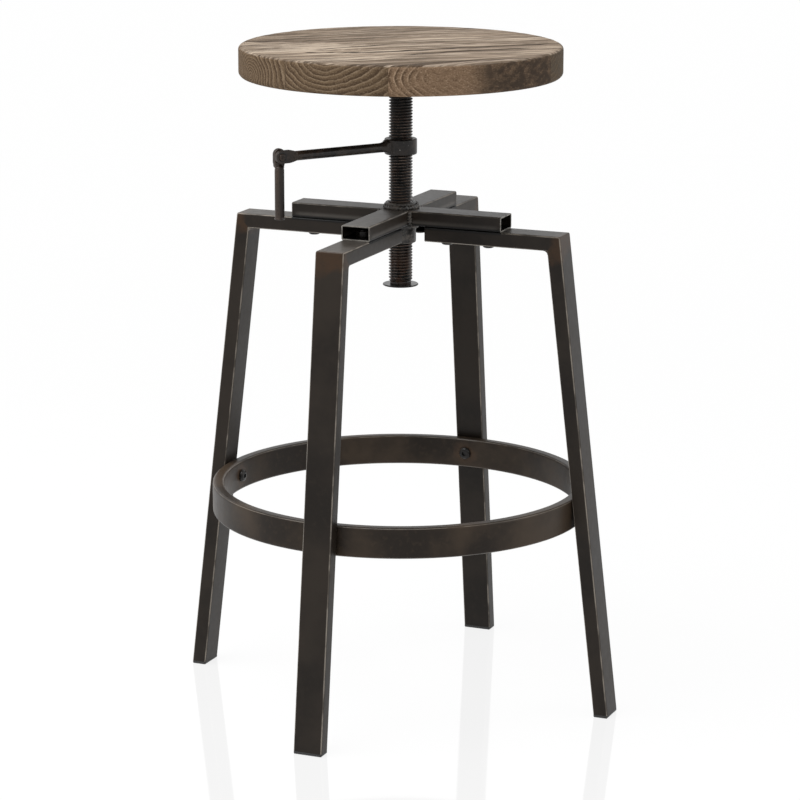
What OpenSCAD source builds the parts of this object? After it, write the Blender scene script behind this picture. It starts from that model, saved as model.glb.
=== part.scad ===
// Adjustable industrial bar stool: a round seat of glued boards on a screw, a folding crank under it,
// and a base of four bent tube legs bolted to a cross of tubes, with a foot ring bolted inside them.
// Millimetres. Z is up, and the origin is on the floor under the middle of the stool.

/* [Seat] */
// Diameter of the seat
seat_d = 343; // [300:1:400]
// Thickness of the seat
seat_t = 32; // [24:1:45]
// Radius of the rounded top edge
seat_top_round = 4; // [1:0.5:8]
// Radius of the rounded bottom edge
seat_bottom_round = 5; // [1:0.5:8]
// Width of the narrow board glued on at one side
strip_w = 30; // [20:1:60]
// Direction in which the boards run, from the X axis
board_angle = 53; // [0:1:180]

/* [Seat plate] */
// Diameter of the steel plate under the seat
plate_d = 150; // [110:1:200]
// Thickness of the plate
plate_t = 5; // [3:0.5:8]
// Distance of the seat's wood screws from the plate's edge
plate_screw_inset = 15; // [10:1:20]
// Number of wood screws
plate_screw_count = 4; // [3:1:8]
// Diameter of a wood screw's shank
wood_screw_d = 5; // [4:0.5:6]
// How deep a wood screw goes into the seat
wood_screw_bite = 18; // [10:1:20]

/* [Screw] */
// Diameter over the thread
screw_d = 25.4; // [20:0.1:28]
// Length of the screw
screw_len = 222; // [200:1:280]
// How far the screw's end hangs below the hub as drawn
screw_drop = 45; // [20:1:60]
// How far the stop washer at the screw's lower end stands out past the screw
stop_lip = 6.4; // [5:0.1:10]
// Thickness of the stop washer
stop_t = 1.6; // [1:0.1:4]
// Diameter of the screw that holds the stop washer
end_screw_d = 8; // [6:0.5:10]

/* [Hub and cross] */
// Wall of the threaded hub
hub_wall = 3.7; // [3:0.1:5]
// Length of the hub
hub_len = 44; // [36:1:60]
// How far the hub stands above the cross arms
hub_rise = 7; // [4:0.5:12]
// Distance from the axis to the open end of a cross arm
arm_reach = 120.5; // [115:0.5:135]
// Reach of the weld beads round the hub
hub_bead = 2.4; // [1.5:0.1:4]
// Leg of the other weld beads
weld_leg = 4.5; // [2:0.5:5]

/* [Legs] */
// Height of the top of the legs above the floor
leg_top = 520; // [420:5:620]
// Distance from the axis to a leg's outer face at the floor
floor_reach = 248; // [215:1:300]
// Distance from the axis to a leg's outer corner at the top
corner_reach = 186.5; // [175:0.5:205]
// Distance from the axis to the inner end of a leg's level part
leg_start = 34; // [30:1:40]
// Width of the tube that the legs and cross arms are made of
tube_w = 32; // [28:0.5:36]
// Height of that tube
tube_h = 16; // [14:0.5:20]
// Wall of that tube
tube_wall = 1.5; // [1:0.1:2.5]
// Radius of the tube's outer corners
tube_round = 2; // [1:0.5:3]
// Radius of the weld fillet inside a leg's corner
bend_round = 4.5; // [2:0.5:8]
// Thickness of a foot glide under the leg
glide_t = 3; // [2:0.5:8]
// Length of a foot glide's plug inside the leg
glide_plug = 18; // [10:1:30]

/* [Foot ring] */
// Height of the middle of the foot ring above the floor
ring_z = 221; // [150:1:320]
// Height of the ring's tube
ring_h = 33; // [25:1:40]
// Width of the ring's tube
ring_w = 12.5; // [10:0.5:20]
// Wall of the ring's tube
ring_wall = 1.5; // [1:0.1:2.5]
// Radius of the corners of the ring's tube
ring_round = 3; // [1:0.5:4]

/* [Bolts] */
// Diameter of the frame's bolts
bolt_d = 8; // [6:0.5:8]
// Diameter of a bolt's button head
bolt_head_d = 13.4; // [12:0.2:16]
// Height of a bolt's button head
bolt_head_h = 4; // [3:0.2:5]
// Distance from the axis to the inner bolt of a leg
bolt_in = 54; // [48:1:65]
// Distance from the axis to the outer bolt of a leg
bolt_out = 101; // [85:1:103]

/* [Crank] */
// Wall of the collar
collar_wall = 4.7; // [3.5:0.1:8]
// Height of the collar
collar_h = 16.8; // [14:0.2:24]
// Height of the collar's lower face above the screw's end
collar_up = 140; // [110:1:160]
// Distance from the axis to the handle's pivot
crank_reach = 146; // [140:1:160]
// Direction of the crank as drawn, from the X axis
crank_angle = 234.7; // [0:0.1:359]
// Diameter of the crank's arm and of the handle
rod_d = 10.2; // [8:0.2:12]
// Height of the flat eye at the arm's end
eye_h = 13.8; // [13:0.2:18]
// Thickness of the eye
eye_t = 5; // [4:0.1:7]
// Width of the handle's flat lug, behind the eye
lug_w = 12.2; // [11:0.1:16]
// Thickness of the lug
lug_t = 5.2; // [4:0.1:7]
// Diameter of the pivot pin
pin_d = 5; // [3:0.1:6]
// Distance from the pivot to the handle's lower end
handle_len = 66.5; // [50:0.5:68]
// Diameter of the pin that holds the collar on the screw
collar_pin_d = 5; // [3:0.5:7]

/* [Hidden] */

// Clearances
run_gap = 0.08; // of a shaft that turns in a bore, on the radius
fit_gap = 0.05; // of a pin or screw held in its hole, on the radius
bolt_gap = 0.3; // of a bolt in a drilled hole, on the radius
side_gap = 0.2; // of the handle's lug behind the eye and before the pin's head
stop_gap = 0.15; // of the stop washer, above and below
plug_gap = 0.2; // of a foot glide's plug inside the leg
over = 1; // by which a cutter passes the face it cuts
round_steps = 5; // flats in a rounded corner

// Directions of the four legs, from the X axis
FRONT = -90;
RIGHT = 0;
REAR = 90;
LEFT = 180;
SIDES = [FRONT, RIGHT, REAR, LEFT];

// Heights, from the floor up
arm_bottom = leg_top;
arm_top = arm_bottom + tube_h;
hub_top = arm_top + hub_rise;
hub_bottom = hub_top - hub_len;
screw_bottom = hub_bottom - screw_drop;
screw_top = screw_bottom + screw_len;
plate_sink = plate_t * 0.6; // how far the screw's top reaches into the plate
plate_bottom = screw_top - plate_sink;
seat_bottom = plate_bottom + plate_t;
collar_z = screw_bottom + collar_up;
crank_z = collar_z + collar_h / 2;
stop_top = screw_bottom - stop_gap;
end_head_top = stop_top - stop_t - stop_gap;

// Slope of a leg, and the thickness of its tube measured level
leg_slope = (floor_reach - corner_reach) / leg_top;
leg_tilt = atan(leg_slope);
leg_level = tube_h / cos(leg_tilt);
mitre = (90 + leg_tilt) / 2; // from the level run's axis to the mitre
far = leg_top + floor_reach; // further than any leg reaches
function leg_outer(z) = floor_reach - leg_slope * z;
function leg_inner(z) = leg_outer(z) - leg_level;

// The ring's top outer edge rests against the legs
ring_out = leg_inner(ring_z + ring_h / 2);
ring_in = ring_out - ring_w;

// A ring bolt's flat head meets the ring's hollow inner face at the head's edge
ring_seat = sqrt(pow(ring_in, 2) - pow(bolt_head_d / 2, 2));

// Round shapes of the frame
screw_r = screw_d / 2;
hub_r = screw_r + run_gap + hub_wall;
stop_r = screw_r + stop_lip;
collar_r = screw_r + collar_wall;
plate_screw_r = plate_d / 2 - plate_screw_inset;
bolt_r = bolt_d / 2;
nut_af = bolt_d * 1.6; // across the flats
nut_h = bolt_d * 0.8;
insert_d = bolt_d + 3;
insert_flange_d = bolt_d + 7;
insert_depth = 9;
pin_head_d = pin_d * 1.6;
pin_head_t = 1;
eye_len = 17; // from the pivot to where the arm is round again
lug_face = -eye_t / 2 - side_gap; // the lug's near face, across the crank
lug_ahead = rod_d * 0.16; // how far that face lies before the handle's own axis
handle_y = lug_face - lug_ahead;
lug_top = eye_h / 2 + 1.6; // from the pivot up to the lug's round top
shoulder = eye_h / 2 + 1.2; // from the pivot down to the cone that leads to the round handle
root_r = collar_h / 2 - 0.4; // of the arm's root at the collar
root_out = 2; // how far the root stands out from the collar before it narrows
root_len = 8; // over which it narrows to the arm

// Points of an arc about [x, y] from angle a, a quarter turn unless it says otherwise
function corner(x, y, r, a, turn = 90) =
    [for (i = [0:round_steps])
        let (b = a + turn * i / round_steps)
        [x + r * cos(b), y + r * sin(b)]];

// Outline of a rectangle with rounded corners, centred on the origin
function round_box(w, h, r) = concat(
    corner(w / 2 - r, h / 2 - r, r, 0),
    corner(r - w / 2, h / 2 - r, r, 90),
    corner(r - w / 2, r - h / 2, r, 180),
    corner(w / 2 - r, r - h / 2, r, 270)
);

function wall_round(r, wall) = max(r - wall, 0.4);

// A length of rectangular tube along +X, centred on the axis, w across and h high
module tube(w, h, wall, r, length) {
    rotate([90, 0, 90])
        difference() {
            linear_extrude(length) polygon(round_box(w, h, r));
            translate([0, 0, -over])
                linear_extrude(length + 2 * over)
                    polygon(round_box(w - 2 * wall, h - 2 * wall, wall_round(r, wall)));
        }
}

// A cylinder along +X from x1 to x2 at height z
module rod_x(r, x1, x2, z) {
    translate([x1, 0, z]) rotate([0, 90, 0]) cylinder(h = x2 - x1, r = r, $fn = 48);
}

// Outline of a button head: half section, flat face at 0, dome going down
function head_section(r, h) = concat(
    [[0, 0], [r, 0], [r, -h * 0.25]],
    [for (i = [1:round_steps]) [r - (r * 0.45) * (1 - cos(18 * i)), -h * 0.25 - h * 0.75 * sin(18 * i)]],
    [[0, -h]]
);

module button_head(r, h) {
    difference() {
        rotate_extrude($fn = 48) polygon(head_section(r, h));
        translate([0, 0, -h - over])
            cylinder(h = h * 0.55 + over, r = r * 0.42, $fn = 6);
    }
}

// The hub: a threaded sleeve that the cross is welded to
module hub_sleeve() {
    edge = 1;
    color("#2c2a28")
        rotate_extrude($fn = 96)
            polygon([
                [screw_r + run_gap, hub_bottom + edge],
                [screw_r + run_gap + edge, hub_bottom],
                [hub_r - edge, hub_bottom],
                [hub_r, hub_bottom + edge],
                [hub_r, hub_top - edge],
                [hub_r - edge, hub_top],
                [screw_r + run_gap + edge, hub_top],
                [screw_r + run_gap, hub_top - edge]
            ]);
}

// One arm of the cross: open at its outer end, mitred against its neighbours and saddled on the hub
module cross_arm(side) {
    color("#35322f")
        rotate(side)
            difference() {
                translate([0, 0, arm_bottom + tube_h / 2])
                    tube(tube_w, tube_h, tube_wall, tube_round, arm_reach);
                for (turn = [-1, 1])
                    rotate(turn * 45) half_space_beside(turn);
                translate([0, 0, arm_bottom - over])
                    cylinder(h = tube_h + 2 * over, r = hub_r, $fn = 96);
                for (r = [bolt_in, bolt_out])
                    translate([r, 0, arm_bottom - over])
                        cylinder(h = tube_wall + 2 * over, r = bolt_r + bolt_gap, $fn = 48);
            }
}

// Everything beyond a vertical plane through the axis: to the left of +X for 1, to the right for -1
module half_space_beside(turn) {
    big = 2 * arm_reach;
    translate([-big, turn > 0 ? 0 : -big, arm_bottom - over])
        cube([2 * big, big, tube_h + 2 * over]);
}

// A weld bead round the hub, on top of the arms or under them
module hub_weld(z, up) {
    color("#3a3531")
        translate([0, 0, z])
            rotate_extrude($fn = 96)
                polygon([
                    [hub_r, 0],
                    [hub_r + hub_bead, 0],
                    [hub_r + hub_bead, up * hub_bead * 0.6],
                    [hub_r + hub_bead * 0.6, up * hub_bead * 1.5],
                    [hub_r, up * hub_bead * 1.9]
                ]);
}

module hub_top_weld() { hub_weld(arm_top, 1); }

module hub_bottom_weld() { hub_weld(arm_bottom, -1); }

// The upright weld beads in the corners between neighbouring arms
module corner_welds() {
    color("#3a3531")
        for (side = SIDES)
            rotate(side)
                translate([tube_w / 2, tube_w / 2, arm_bottom + tube_round])
                    linear_extrude(tube_h - 2 * tube_round)
                        polygon([
                            [0, 0],
                            [weld_leg, 0],
                            [weld_leg * 0.6, weld_leg * 0.6],
                            [0, weld_leg]
                        ]);
}

// Section of a bar from its outer face at 0 downwards, rounded at that face only
module crown(half_w, r, depth) {
    polygon(concat(
        corner(half_w - r, -r, r, 0),
        corner(r - half_w, -r, r, 90),
        [[-half_w, -depth], [half_w, -depth]]
    ));
}

// Section of everything below a bar whose inner face is at 0 and is rounded into its sides
module below(half_w, r, depth) {
    polygon(concat(
        [[-depth, -depth], [depth, -depth], [depth, r]],
        corner(half_w - r, r, r, 0, -90),
        corner(r - half_w, r, r, -90, -90),
        [[-depth, r]]
    ));
}

// Places its children's section at a leg's level run, depth_in under its top face
module level_run(depth_in, start) {
    translate([start, 0, leg_top - depth_in])
        rotate([90, 0, 90])
            linear_extrude(2 * far) children();
}

// Places its children's section at a leg's sloping run, depth_in inside its outer face
module sloping_run(depth_in) {
    translate([corner_reach, 0, leg_top])
        rotate([0, 90 - leg_tilt, 0])
            translate([-far, 0, -depth_in])
                rotate([90, 0, 90])
                    linear_extrude(3 * far) children();
}

// The leg as one solid bar, mitred at its corner and smaller by inset on every side
module bent_bar(inset, start) {
    half_w = tube_w / 2 - inset;
    r = inset > 0 ? wall_round(tube_round, inset) : tube_round;
    difference() {
        intersection() {
            level_run(inset, start) crown(half_w, r, far);
            sloping_run(inset) crown(half_w, r, far);
        }
        intersection() {
            level_run(tube_h - inset, start - over) below(half_w, r, far);
            sloping_run(tube_h - inset) below(half_w, r, far);
        }
    }
}

// The fillet of weld inside a leg's corner, let into the walls on both sides
module bend_weld() {
    let_in = tube_wall / 2;
    inner = [
        corner_reach - tube_h * cos(mitre) / sin(mitre),
        leg_top - tube_h
    ];
    middle = inner - bend_round / sin(mitre) * [cos(mitre), sin(mitre)];
    level_end = middle + [0, bend_round];
    slope_end = middle + bend_round * [cos(leg_tilt), sin(leg_tilt)];
    translate([0, tube_w / 2 - tube_round, 0])
        rotate([90, 0, 0])
            linear_extrude(tube_w - 2 * tube_round)
                polygon(concat(
                    corner(middle[0], middle[1], bend_round, 90, leg_tilt - 90),
                    [
                        slope_end + let_in * [cos(leg_tilt), sin(leg_tilt)],
                        inner + let_in / sin(mitre) * [cos(mitre), sin(mitre)],
                        level_end + [0, let_in]
                    ]
                ));
}

// A leg's tube with both its ends open, before it is drilled
module leg_tube() {
    difference() {
        union() {
            difference() {
                bent_bar(0, leg_start);
                bent_bar(tube_wall, leg_start - over);
            }
            bend_weld();
        }
        translate([0, -tube_w, glide_t - far])
            cube([2 * floor_reach, 2 * tube_w, far]);
    }
}

// One leg: level under its cross arm, then down and out to the floor, in one mitred tube
module leg(side) {
    color("#35322f")
        rotate(side)
            difference() {
                leg_tube();
                for (r = [bolt_in, bolt_out])
                    translate([r, 0, leg_top - tube_h - over])
                        cylinder(h = tube_h + 2 * over, r = bolt_r + bolt_gap, $fn = 48);
                translate([leg_inner(ring_z), 0, 0])
                    rod_x(insert_d / 2 + fit_gap, -tube_h / 2, tube_h / 2, ring_z);
            }
}

// A foot glide: a flat plastic foot with a plug inside the leg
module foot_glide(side) {
    edge = glide_t * 0.3;
    mid = leg_outer(glide_t) - leg_level / 2;
    color("#1c1b1a")
        rotate(side) {
            intersection() {
                translate([mid, tube_w / 2, 0])
                    rotate([90, 0, 0])
                        linear_extrude(tube_w)
                            polygon([
                                [edge - leg_level / 2, 0],
                                [leg_level / 2 - edge, 0],
                                [leg_level / 2, edge],
                                [leg_level / 2, glide_t],
                                [-leg_level / 2, glide_t],
                                [-leg_level / 2, edge]
                            ]);
                translate([mid - leg_level, 0, 0])
                    rotate([90, 0, 90])
                        linear_extrude(2 * leg_level)
                            polygon([
                                [edge - tube_w / 2, 0],
                                [tube_w / 2 - edge, 0],
                                [tube_w / 2, edge],
                                [tube_w / 2, glide_t],
                                [-tube_w / 2, glide_t],
                                [-tube_w / 2, edge]
                            ]);
            }
            difference() {
                translate([mid, 0, glide_t])
                    rotate([0, -leg_tilt, 0])
                        translate([0, 0, -glide_t])
                            linear_extrude(glide_plug + glide_t)
                                square([
                                    tube_h - 2 * tube_wall - 2 * plug_gap,
                                    tube_w - 2 * tube_wall - 2 * plug_gap
                                ], center = true);
                translate([0, -tube_w, glide_t / 2 - tube_w])
                    cube([2 * floor_reach, 2 * tube_w, tube_w]);
            }
        }
}

// The button-head bolts that hold the legs to the cross arms, put in from below
module arm_bolts() {
    length = tube_h + tube_wall + nut_h + 1;
    color("#242220")
        for (side = SIDES, r = [bolt_in, bolt_out])
            rotate(side)
                translate([r, 0, leg_top - tube_h]) {
                    button_head(bolt_head_d / 2, bolt_head_h);
                    cylinder(h = length, r = bolt_r, $fn = 48);
                }
}

// The hexagon nuts of those bolts, inside the cross arms
module arm_nuts() {
    color("#6b6762")
        for (side = SIDES, r = [bolt_in, bolt_out])
            rotate(side)
                translate([r, 0, arm_bottom + tube_wall])
                    difference() {
                        cylinder(h = nut_h, r = nut_af / sqrt(3), $fn = 6);
                        translate([0, 0, -over])
                            cylinder(h = nut_h + 2 * over, r = bolt_r + fit_gap, $fn = 48);
                    }
}

// The foot ring: a rectangular tube rolled into a circle, drilled for its four bolts
module foot_ring() {
    mid = (ring_in + ring_out) / 2;
    color("#35322f")
        difference() {
            rotate_extrude($fn = 180)
                translate([mid, ring_z])
                    difference() {
                        polygon(round_box(ring_w, ring_h, ring_round));
                        polygon(round_box(
                            ring_w - 2 * ring_wall, ring_h - 2 * ring_wall, wall_round(ring_round, ring_wall)
                        ));
                    }
            for (side = SIDES)
                rotate(side) rod_x(bolt_r + bolt_gap, ring_in - over, ring_out + over, ring_z);
        }
}

// The bolts that hold the ring, put in from inside it
module ring_bolts() {
    color("#242220")
        for (side = SIDES)
            rotate(side) {
                translate([ring_seat, 0, ring_z])
                    rotate([0, 90, 0]) button_head(bolt_head_d / 2, bolt_head_h);
                rod_x(bolt_r, ring_seat - bolt_head_h / 4, leg_inner(ring_z) + insert_depth, ring_z);
            }
}

// The riveted inserts in the legs, with a wedge-shaped flange between the ring and the leg
module ring_inserts() {
    color("#6b6762")
        for (side = SIDES)
            rotate(side)
                difference() {
                    union() {
                        difference() {
                            rod_x(insert_flange_d / 2, ring_in, leg_outer(ring_z), ring_z);
                            translate([leg_inner(ring_z), 0, ring_z])
                                rotate([0, -leg_tilt, 0])
                                    translate([0, -tube_w, -tube_w])
                                        cube([2 * tube_h, 2 * tube_w, 2 * tube_w]);
                        }
                        rod_x(insert_d / 2, ring_in, leg_inner(ring_z) + insert_depth, ring_z);
                    }
                    cylinder(h = 2 * ring_z, r = ring_out, $fn = 180);
                    rod_x(bolt_r + fit_gap, ring_in, leg_outer(ring_z), ring_z);
                }
}

// The stop washer at the screw's lower end, loose between the screw and the head of the end screw
module stop_washer() {
    edge = stop_t * 0.3;
    color("#2c2a28")
        rotate_extrude($fn = 96)
            polygon([
                [end_screw_d / 2 + bolt_gap, stop_top - stop_t],
                [stop_r - edge, stop_top - stop_t],
                [stop_r, stop_top - stop_t + edge],
                [stop_r, stop_top - edge],
                [stop_r - edge, stop_top],
                [end_screw_d / 2 + bolt_gap, stop_top]
            ]);
}

// The screw, drawn at the diameter over its thread
module screw_rod() {
    edge = 1.2;
    bore_len = 3 * end_screw_d;
    color("#201d1b")
        difference() {
            rotate_extrude($fn = 96)
                polygon([
                    [0, screw_bottom],
                    [screw_r - edge, screw_bottom],
                    [screw_r, screw_bottom + edge],
                    [screw_r, screw_top],
                    [0, screw_top]
                ]);
            translate([0, 0, screw_bottom - over])
                cylinder(h = bore_len + over, r = end_screw_d / 2 + fit_gap, $fn = 48);
            rotate(crank_angle)
                rod_x(collar_pin_d / 2 + fit_gap, -collar_r - over, collar_r - over, crank_z);
        }
}

// The screw that holds the stop washer
module end_screw() {
    head_r = end_screw_d * 0.8;
    head_h = end_screw_d * 0.35;
    color("#242220") {
        translate([0, 0, end_head_top]) button_head(head_r, head_h);
        translate([0, 0, end_head_top - head_h * 0.25])
            cylinder(h = 2.5 * end_screw_d, r = end_screw_d / 2, $fn = 48);
    }
}

// The round plate welded to the screw's top, with a hole for each wood screw
module seat_plate() {
    edge = 0.8;
    color("#35322f")
        difference() {
            rotate_extrude($fn = 96)
                polygon([
                    [0, plate_bottom],
                    [plate_d / 2 - edge, plate_bottom],
                    [plate_d / 2, plate_bottom + edge],
                    [plate_d / 2, seat_bottom],
                    [0, seat_bottom]
                ]);
            translate([0, 0, plate_bottom - over])
                cylinder(h = plate_sink + over, r = screw_r + fit_gap, $fn = 96);
            at_plate_screws()
                translate([0, 0, plate_bottom - over])
                    cylinder(h = plate_t + 2 * over, r = wood_screw_d / 2 + bolt_gap, $fn = 48);
        }
}

// Places its children at each wood screw
module at_plate_screws() {
    for (i = [0:plate_screw_count - 1])
        rotate(board_angle + 360 * (i + 0.5) / plate_screw_count)
            translate([plate_screw_r, 0, 0]) children();
}

module plate_weld() {
    color("#3a3531")
        rotate_extrude($fn = 96)
            polygon([
                [screw_r, plate_bottom],
                [screw_r + weld_leg, plate_bottom],
                [screw_r, plate_bottom - weld_leg]
            ]);
}

module seat_screws() {
    head_r = wood_screw_d;
    head_h = wood_screw_d * 0.6;
    color("#6b6762")
        at_plate_screws()
            translate([0, 0, plate_bottom]) {
                button_head(head_r, head_h);
                cylinder(h = plate_t + wood_screw_bite, r = wood_screw_d / 2, $fn = 48);
            }
}

// The round seat as one disc, with rounded edges and the pilot holes of its screws
module seat_disc() {
    seat_r = seat_d / 2;
    seat_top = seat_bottom + seat_t;
    difference() {
        rotate_extrude($fn = 180)
            polygon(concat(
                [[0, seat_bottom]],
                corner(seat_r - seat_bottom_round, seat_bottom + seat_bottom_round, seat_bottom_round, -90),
                corner(seat_r - seat_top_round, seat_top - seat_top_round, seat_top_round, 0),
                [[0, seat_top]]
            ));
        at_plate_screws()
            translate([0, 0, seat_bottom - over])
                cylinder(h = wood_screw_bite + 2 * over, r = wood_screw_d / 2 + fit_gap, $fn = 48);
    }
}

// The part of the seat beyond the glue line
module beyond_glue_line() {
    rotate(board_angle - 90)
        translate([seat_d / 2 - strip_w, -seat_d, seat_bottom - over])
            cube([2 * strip_w, 2 * seat_d, seat_t + 2 * over]);
}

module seat_main_board() {
    color("#9a8a78")
        difference() {
            seat_disc();
            beyond_glue_line();
        }
}

module seat_front_board() {
    color("#84705f")
        intersection() {
            seat_disc();
            beyond_glue_line();
        }
}

// The arm's root at the collar: rises to the collar's top, with flat sides and a flat underside
module arm_root() {
    half_w = rod_d * 0.6;
    intersection() {
        translate([screw_r, 0, crank_z])
            rotate([0, 90, 0])
                rotate_extrude($fn = 48)
                    polygon(concat(
                        [[0, 0], [root_r, 0]],
                        [for (i = [0:round_steps])
                            let (a = 90 * i / round_steps)
                            [
                                root_r - (root_r - rod_d / 2) * sin(a),
                                collar_wall + root_out + root_len * (1 - cos(a))
                            ]],
                        [[0, collar_wall + root_out + root_len]]
                    ));
        translate([0, -half_w, crank_z - rod_d * 0.47])
            cube([crank_reach, 2 * half_w, collar_h]);
    }
}

// The crank: collar, arm and flat eye in one forging
module crank() {
    edge = 0.8;
    neck = 5;
    color("#262423")
        rotate(crank_angle)
            difference() {
                union() {
                    rotate_extrude($fn = 96)
                        polygon([
                            [0, collar_z],
                            [collar_r - edge, collar_z],
                            [collar_r, collar_z + edge],
                            [collar_r, collar_z + collar_h - edge],
                            [collar_r - edge, collar_z + collar_h],
                            [0, collar_z + collar_h]
                        ]);
                    rod_x(rod_d / 2, 0, crank_reach - eye_len, crank_z);
                    arm_root();
                    translate([crank_reach - eye_len - 0.5, 0, crank_z])
                        rotate([0, 90, 0])
                            cylinder(h = neck, r1 = rod_d / 2, r2 = eye_t / 2, $fn = 48);
                    translate([crank_reach, eye_t / 2, crank_z])
                        rotate([90, 0, 0])
                            linear_extrude(eye_t)
                                polygon(concat(
                                    corner(0, 0, eye_h / 2, -90, 180),
                                    [
                                        [-eye_len * 0.55, eye_h / 2],
                                        [-eye_len * 0.8, eye_h * 0.43],
                                        [-eye_len - 1, rod_d * 0.46],
                                        [-eye_len - 1, -rod_d * 0.46],
                                        [-eye_len * 0.8, -eye_h * 0.43],
                                        [-eye_len * 0.55, -eye_h / 2]
                                    ]
                                ));
                    translate([crank_reach, 0, crank_z])
                        rotate([90, 0, 0]) cylinder(h = eye_t, r = eye_h / 2, center = true, $fn = 64);
                }
                translate([0, 0, collar_z - over])
                    cylinder(h = collar_h + 2 * over, r = screw_r + run_gap, $fn = 96);
                translate([crank_reach, eye_t, crank_z])
                    rotate([90, 0, 0]) cylinder(h = 2 * eye_t, r = pin_d / 2 + fit_gap, $fn = 48);
                rod_x(collar_pin_d / 2 + fit_gap, -collar_r - over, collar_r - over, crank_z);
            }
}

// The cross pin that holds the collar on the screw, driven in from the side away from the arm
module collar_pin() {
    color("#6b6762")
        rotate(crank_angle)
            rod_x(collar_pin_d / 2, -collar_r + 0.5, collar_r - 2 * over, crank_z);
}

// One end of the pivot pin: a low head with a dimple, standing up from the XY plane
module pin_head() {
    difference() {
        cylinder(h = pin_head_t, r1 = pin_head_d / 2, r2 = pin_head_d / 2 - 0.4, $fn = 48);
        translate([0, 0, pin_head_t / 2])
            cylinder(h = pin_head_t, r = pin_head_d / 6, $fn = 24);
    }
}

// The riveted pin that the handle swings on
module pivot_pin() {
    far_side = lug_face - lug_t - side_gap;
    color("#4a4642")
        rotate(crank_angle)
            translate([crank_reach, 0, crank_z]) {
                translate([0, eye_t / 2, 0])
                    rotate([90, 0, 0]) cylinder(h = eye_t / 2 - far_side, r = pin_d / 2, $fn = 48);
                translate([0, eye_t / 2, 0]) rotate([-90, 0, 0]) pin_head();
                translate([0, far_side, 0]) rotate([90, 0, 0]) pin_head();
            }
}

// The folding handle, hanging: a flat lug behind the eye, a cone below it and a round grip
module fold_handle() {
    lip = 0.6;
    groove = 0.5;
    grip_r = rod_d / 2;
    grip_top = shoulder + 3;
    color("#2c2724")
        rotate(crank_angle)
            translate([crank_reach, 0, crank_z])
                difference() {
                    union() {
                        translate([0, lug_face, 0])
                            rotate([90, 0, 0])
                                linear_extrude(lug_t)
                                    polygon(concat(
                                        corner(0, lug_top - lug_w / 2, lug_w / 2, 0, 180),
                                        [
                                            [-lug_w / 2, -eye_h * 0.4],
                                            [-grip_r, -grip_top],
                                            [grip_r, -grip_top],
                                            [lug_w / 2, -eye_h * 0.4]
                                        ]
                                    ));
                        translate([0, lug_face, lug_top - lug_w / 2])
                            rotate([90, 0, 0]) cylinder(h = lug_t, r = lug_w / 2, $fn = 64);
                        translate([0, handle_y, 0])
                            rotate_extrude($fn = 64)
                                polygon([
                                    [0, -shoulder],
                                    [lug_ahead, -shoulder],
                                    [grip_r, -grip_top],
                                    [grip_r, -grip_top - 1],
                                    [grip_r - groove, -grip_top - 1.4],
                                    [grip_r - groove, -grip_top - 2],
                                    [grip_r, -grip_top - 2.4],
                                    [grip_r, lip * 3 - handle_len],
                                    [grip_r + lip, lip * 2 - handle_len],
                                    [grip_r + lip, lip - handle_len],
                                    [grip_r, -handle_len],
                                    [0, -handle_len]
                                ]);
                    }
                    translate([0, 2 * lug_t, 0])
                        rotate([90, 0, 0]) cylinder(h = 6 * lug_t, r = pin_d / 2 + run_gap, $fn = 48);
                }
}

hub_sleeve();
cross_arm(FRONT);  // cross_arm_front
cross_arm(RIGHT);  // cross_arm_right
cross_arm(REAR);  // cross_arm_rear
cross_arm(LEFT);  // cross_arm_left
hub_top_weld();
hub_bottom_weld();
corner_welds();
leg(FRONT);  // leg_front
leg(RIGHT);  // leg_right
leg(REAR);  // leg_rear
leg(LEFT);  // leg_left
foot_glide(FRONT);  // foot_glide_front
foot_glide(RIGHT);  // foot_glide_right
foot_glide(REAR);  // foot_glide_rear
foot_glide(LEFT);  // foot_glide_left
arm_bolts();
arm_nuts();
foot_ring();
ring_bolts();
ring_inserts();
stop_washer();
screw_rod();
end_screw();
seat_plate();
plate_weld();
seat_screws();
seat_main_board();
seat_front_board();
crank();
collar_pin();
pivot_pin();
fold_handle();
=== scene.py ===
"""Adjustable bar stool: a round seat of glued boards on a screw, a folding crank, and a base of
bent steel tube with a foot ring. Metres, Z up, front on -Y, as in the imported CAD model."""

import logging
import math
from collections.abc import Callable, Iterable, Sequence
from dataclasses import dataclass
from enum import Enum
from functools import partialmethod

import bmesh
import bpy
from mathutils import Matrix, Vector, noise


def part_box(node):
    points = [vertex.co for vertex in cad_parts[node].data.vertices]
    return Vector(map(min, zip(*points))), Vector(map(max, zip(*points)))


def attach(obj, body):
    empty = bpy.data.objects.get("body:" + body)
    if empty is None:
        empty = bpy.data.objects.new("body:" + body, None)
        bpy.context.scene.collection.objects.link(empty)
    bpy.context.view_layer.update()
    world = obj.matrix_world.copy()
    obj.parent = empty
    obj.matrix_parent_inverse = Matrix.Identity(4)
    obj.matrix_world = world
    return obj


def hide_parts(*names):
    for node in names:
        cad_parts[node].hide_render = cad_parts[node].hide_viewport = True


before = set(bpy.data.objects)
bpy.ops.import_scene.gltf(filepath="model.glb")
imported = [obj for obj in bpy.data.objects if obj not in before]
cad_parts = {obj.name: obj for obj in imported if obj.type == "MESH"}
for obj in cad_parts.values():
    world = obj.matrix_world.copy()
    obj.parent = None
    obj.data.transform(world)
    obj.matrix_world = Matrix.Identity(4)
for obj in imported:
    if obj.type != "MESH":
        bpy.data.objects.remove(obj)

log = logging.getLogger("stool")

MM = 0.001
Triple = tuple[float, float, float]
Colour = Triple
Mesh = bmesh.types.BMesh
Edge = bmesh.types.BMEdge
Socket = bpy.types.NodeSocket
RUN = "run"  # vertex attribute of a tube: across and through it from -1 to 1, and metres along it
OPEN_END_RUN = -0.2  # where the run of a cross arm starts, at its open end
RING_RUN = -0.3  # the run all round the foot ring


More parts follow.
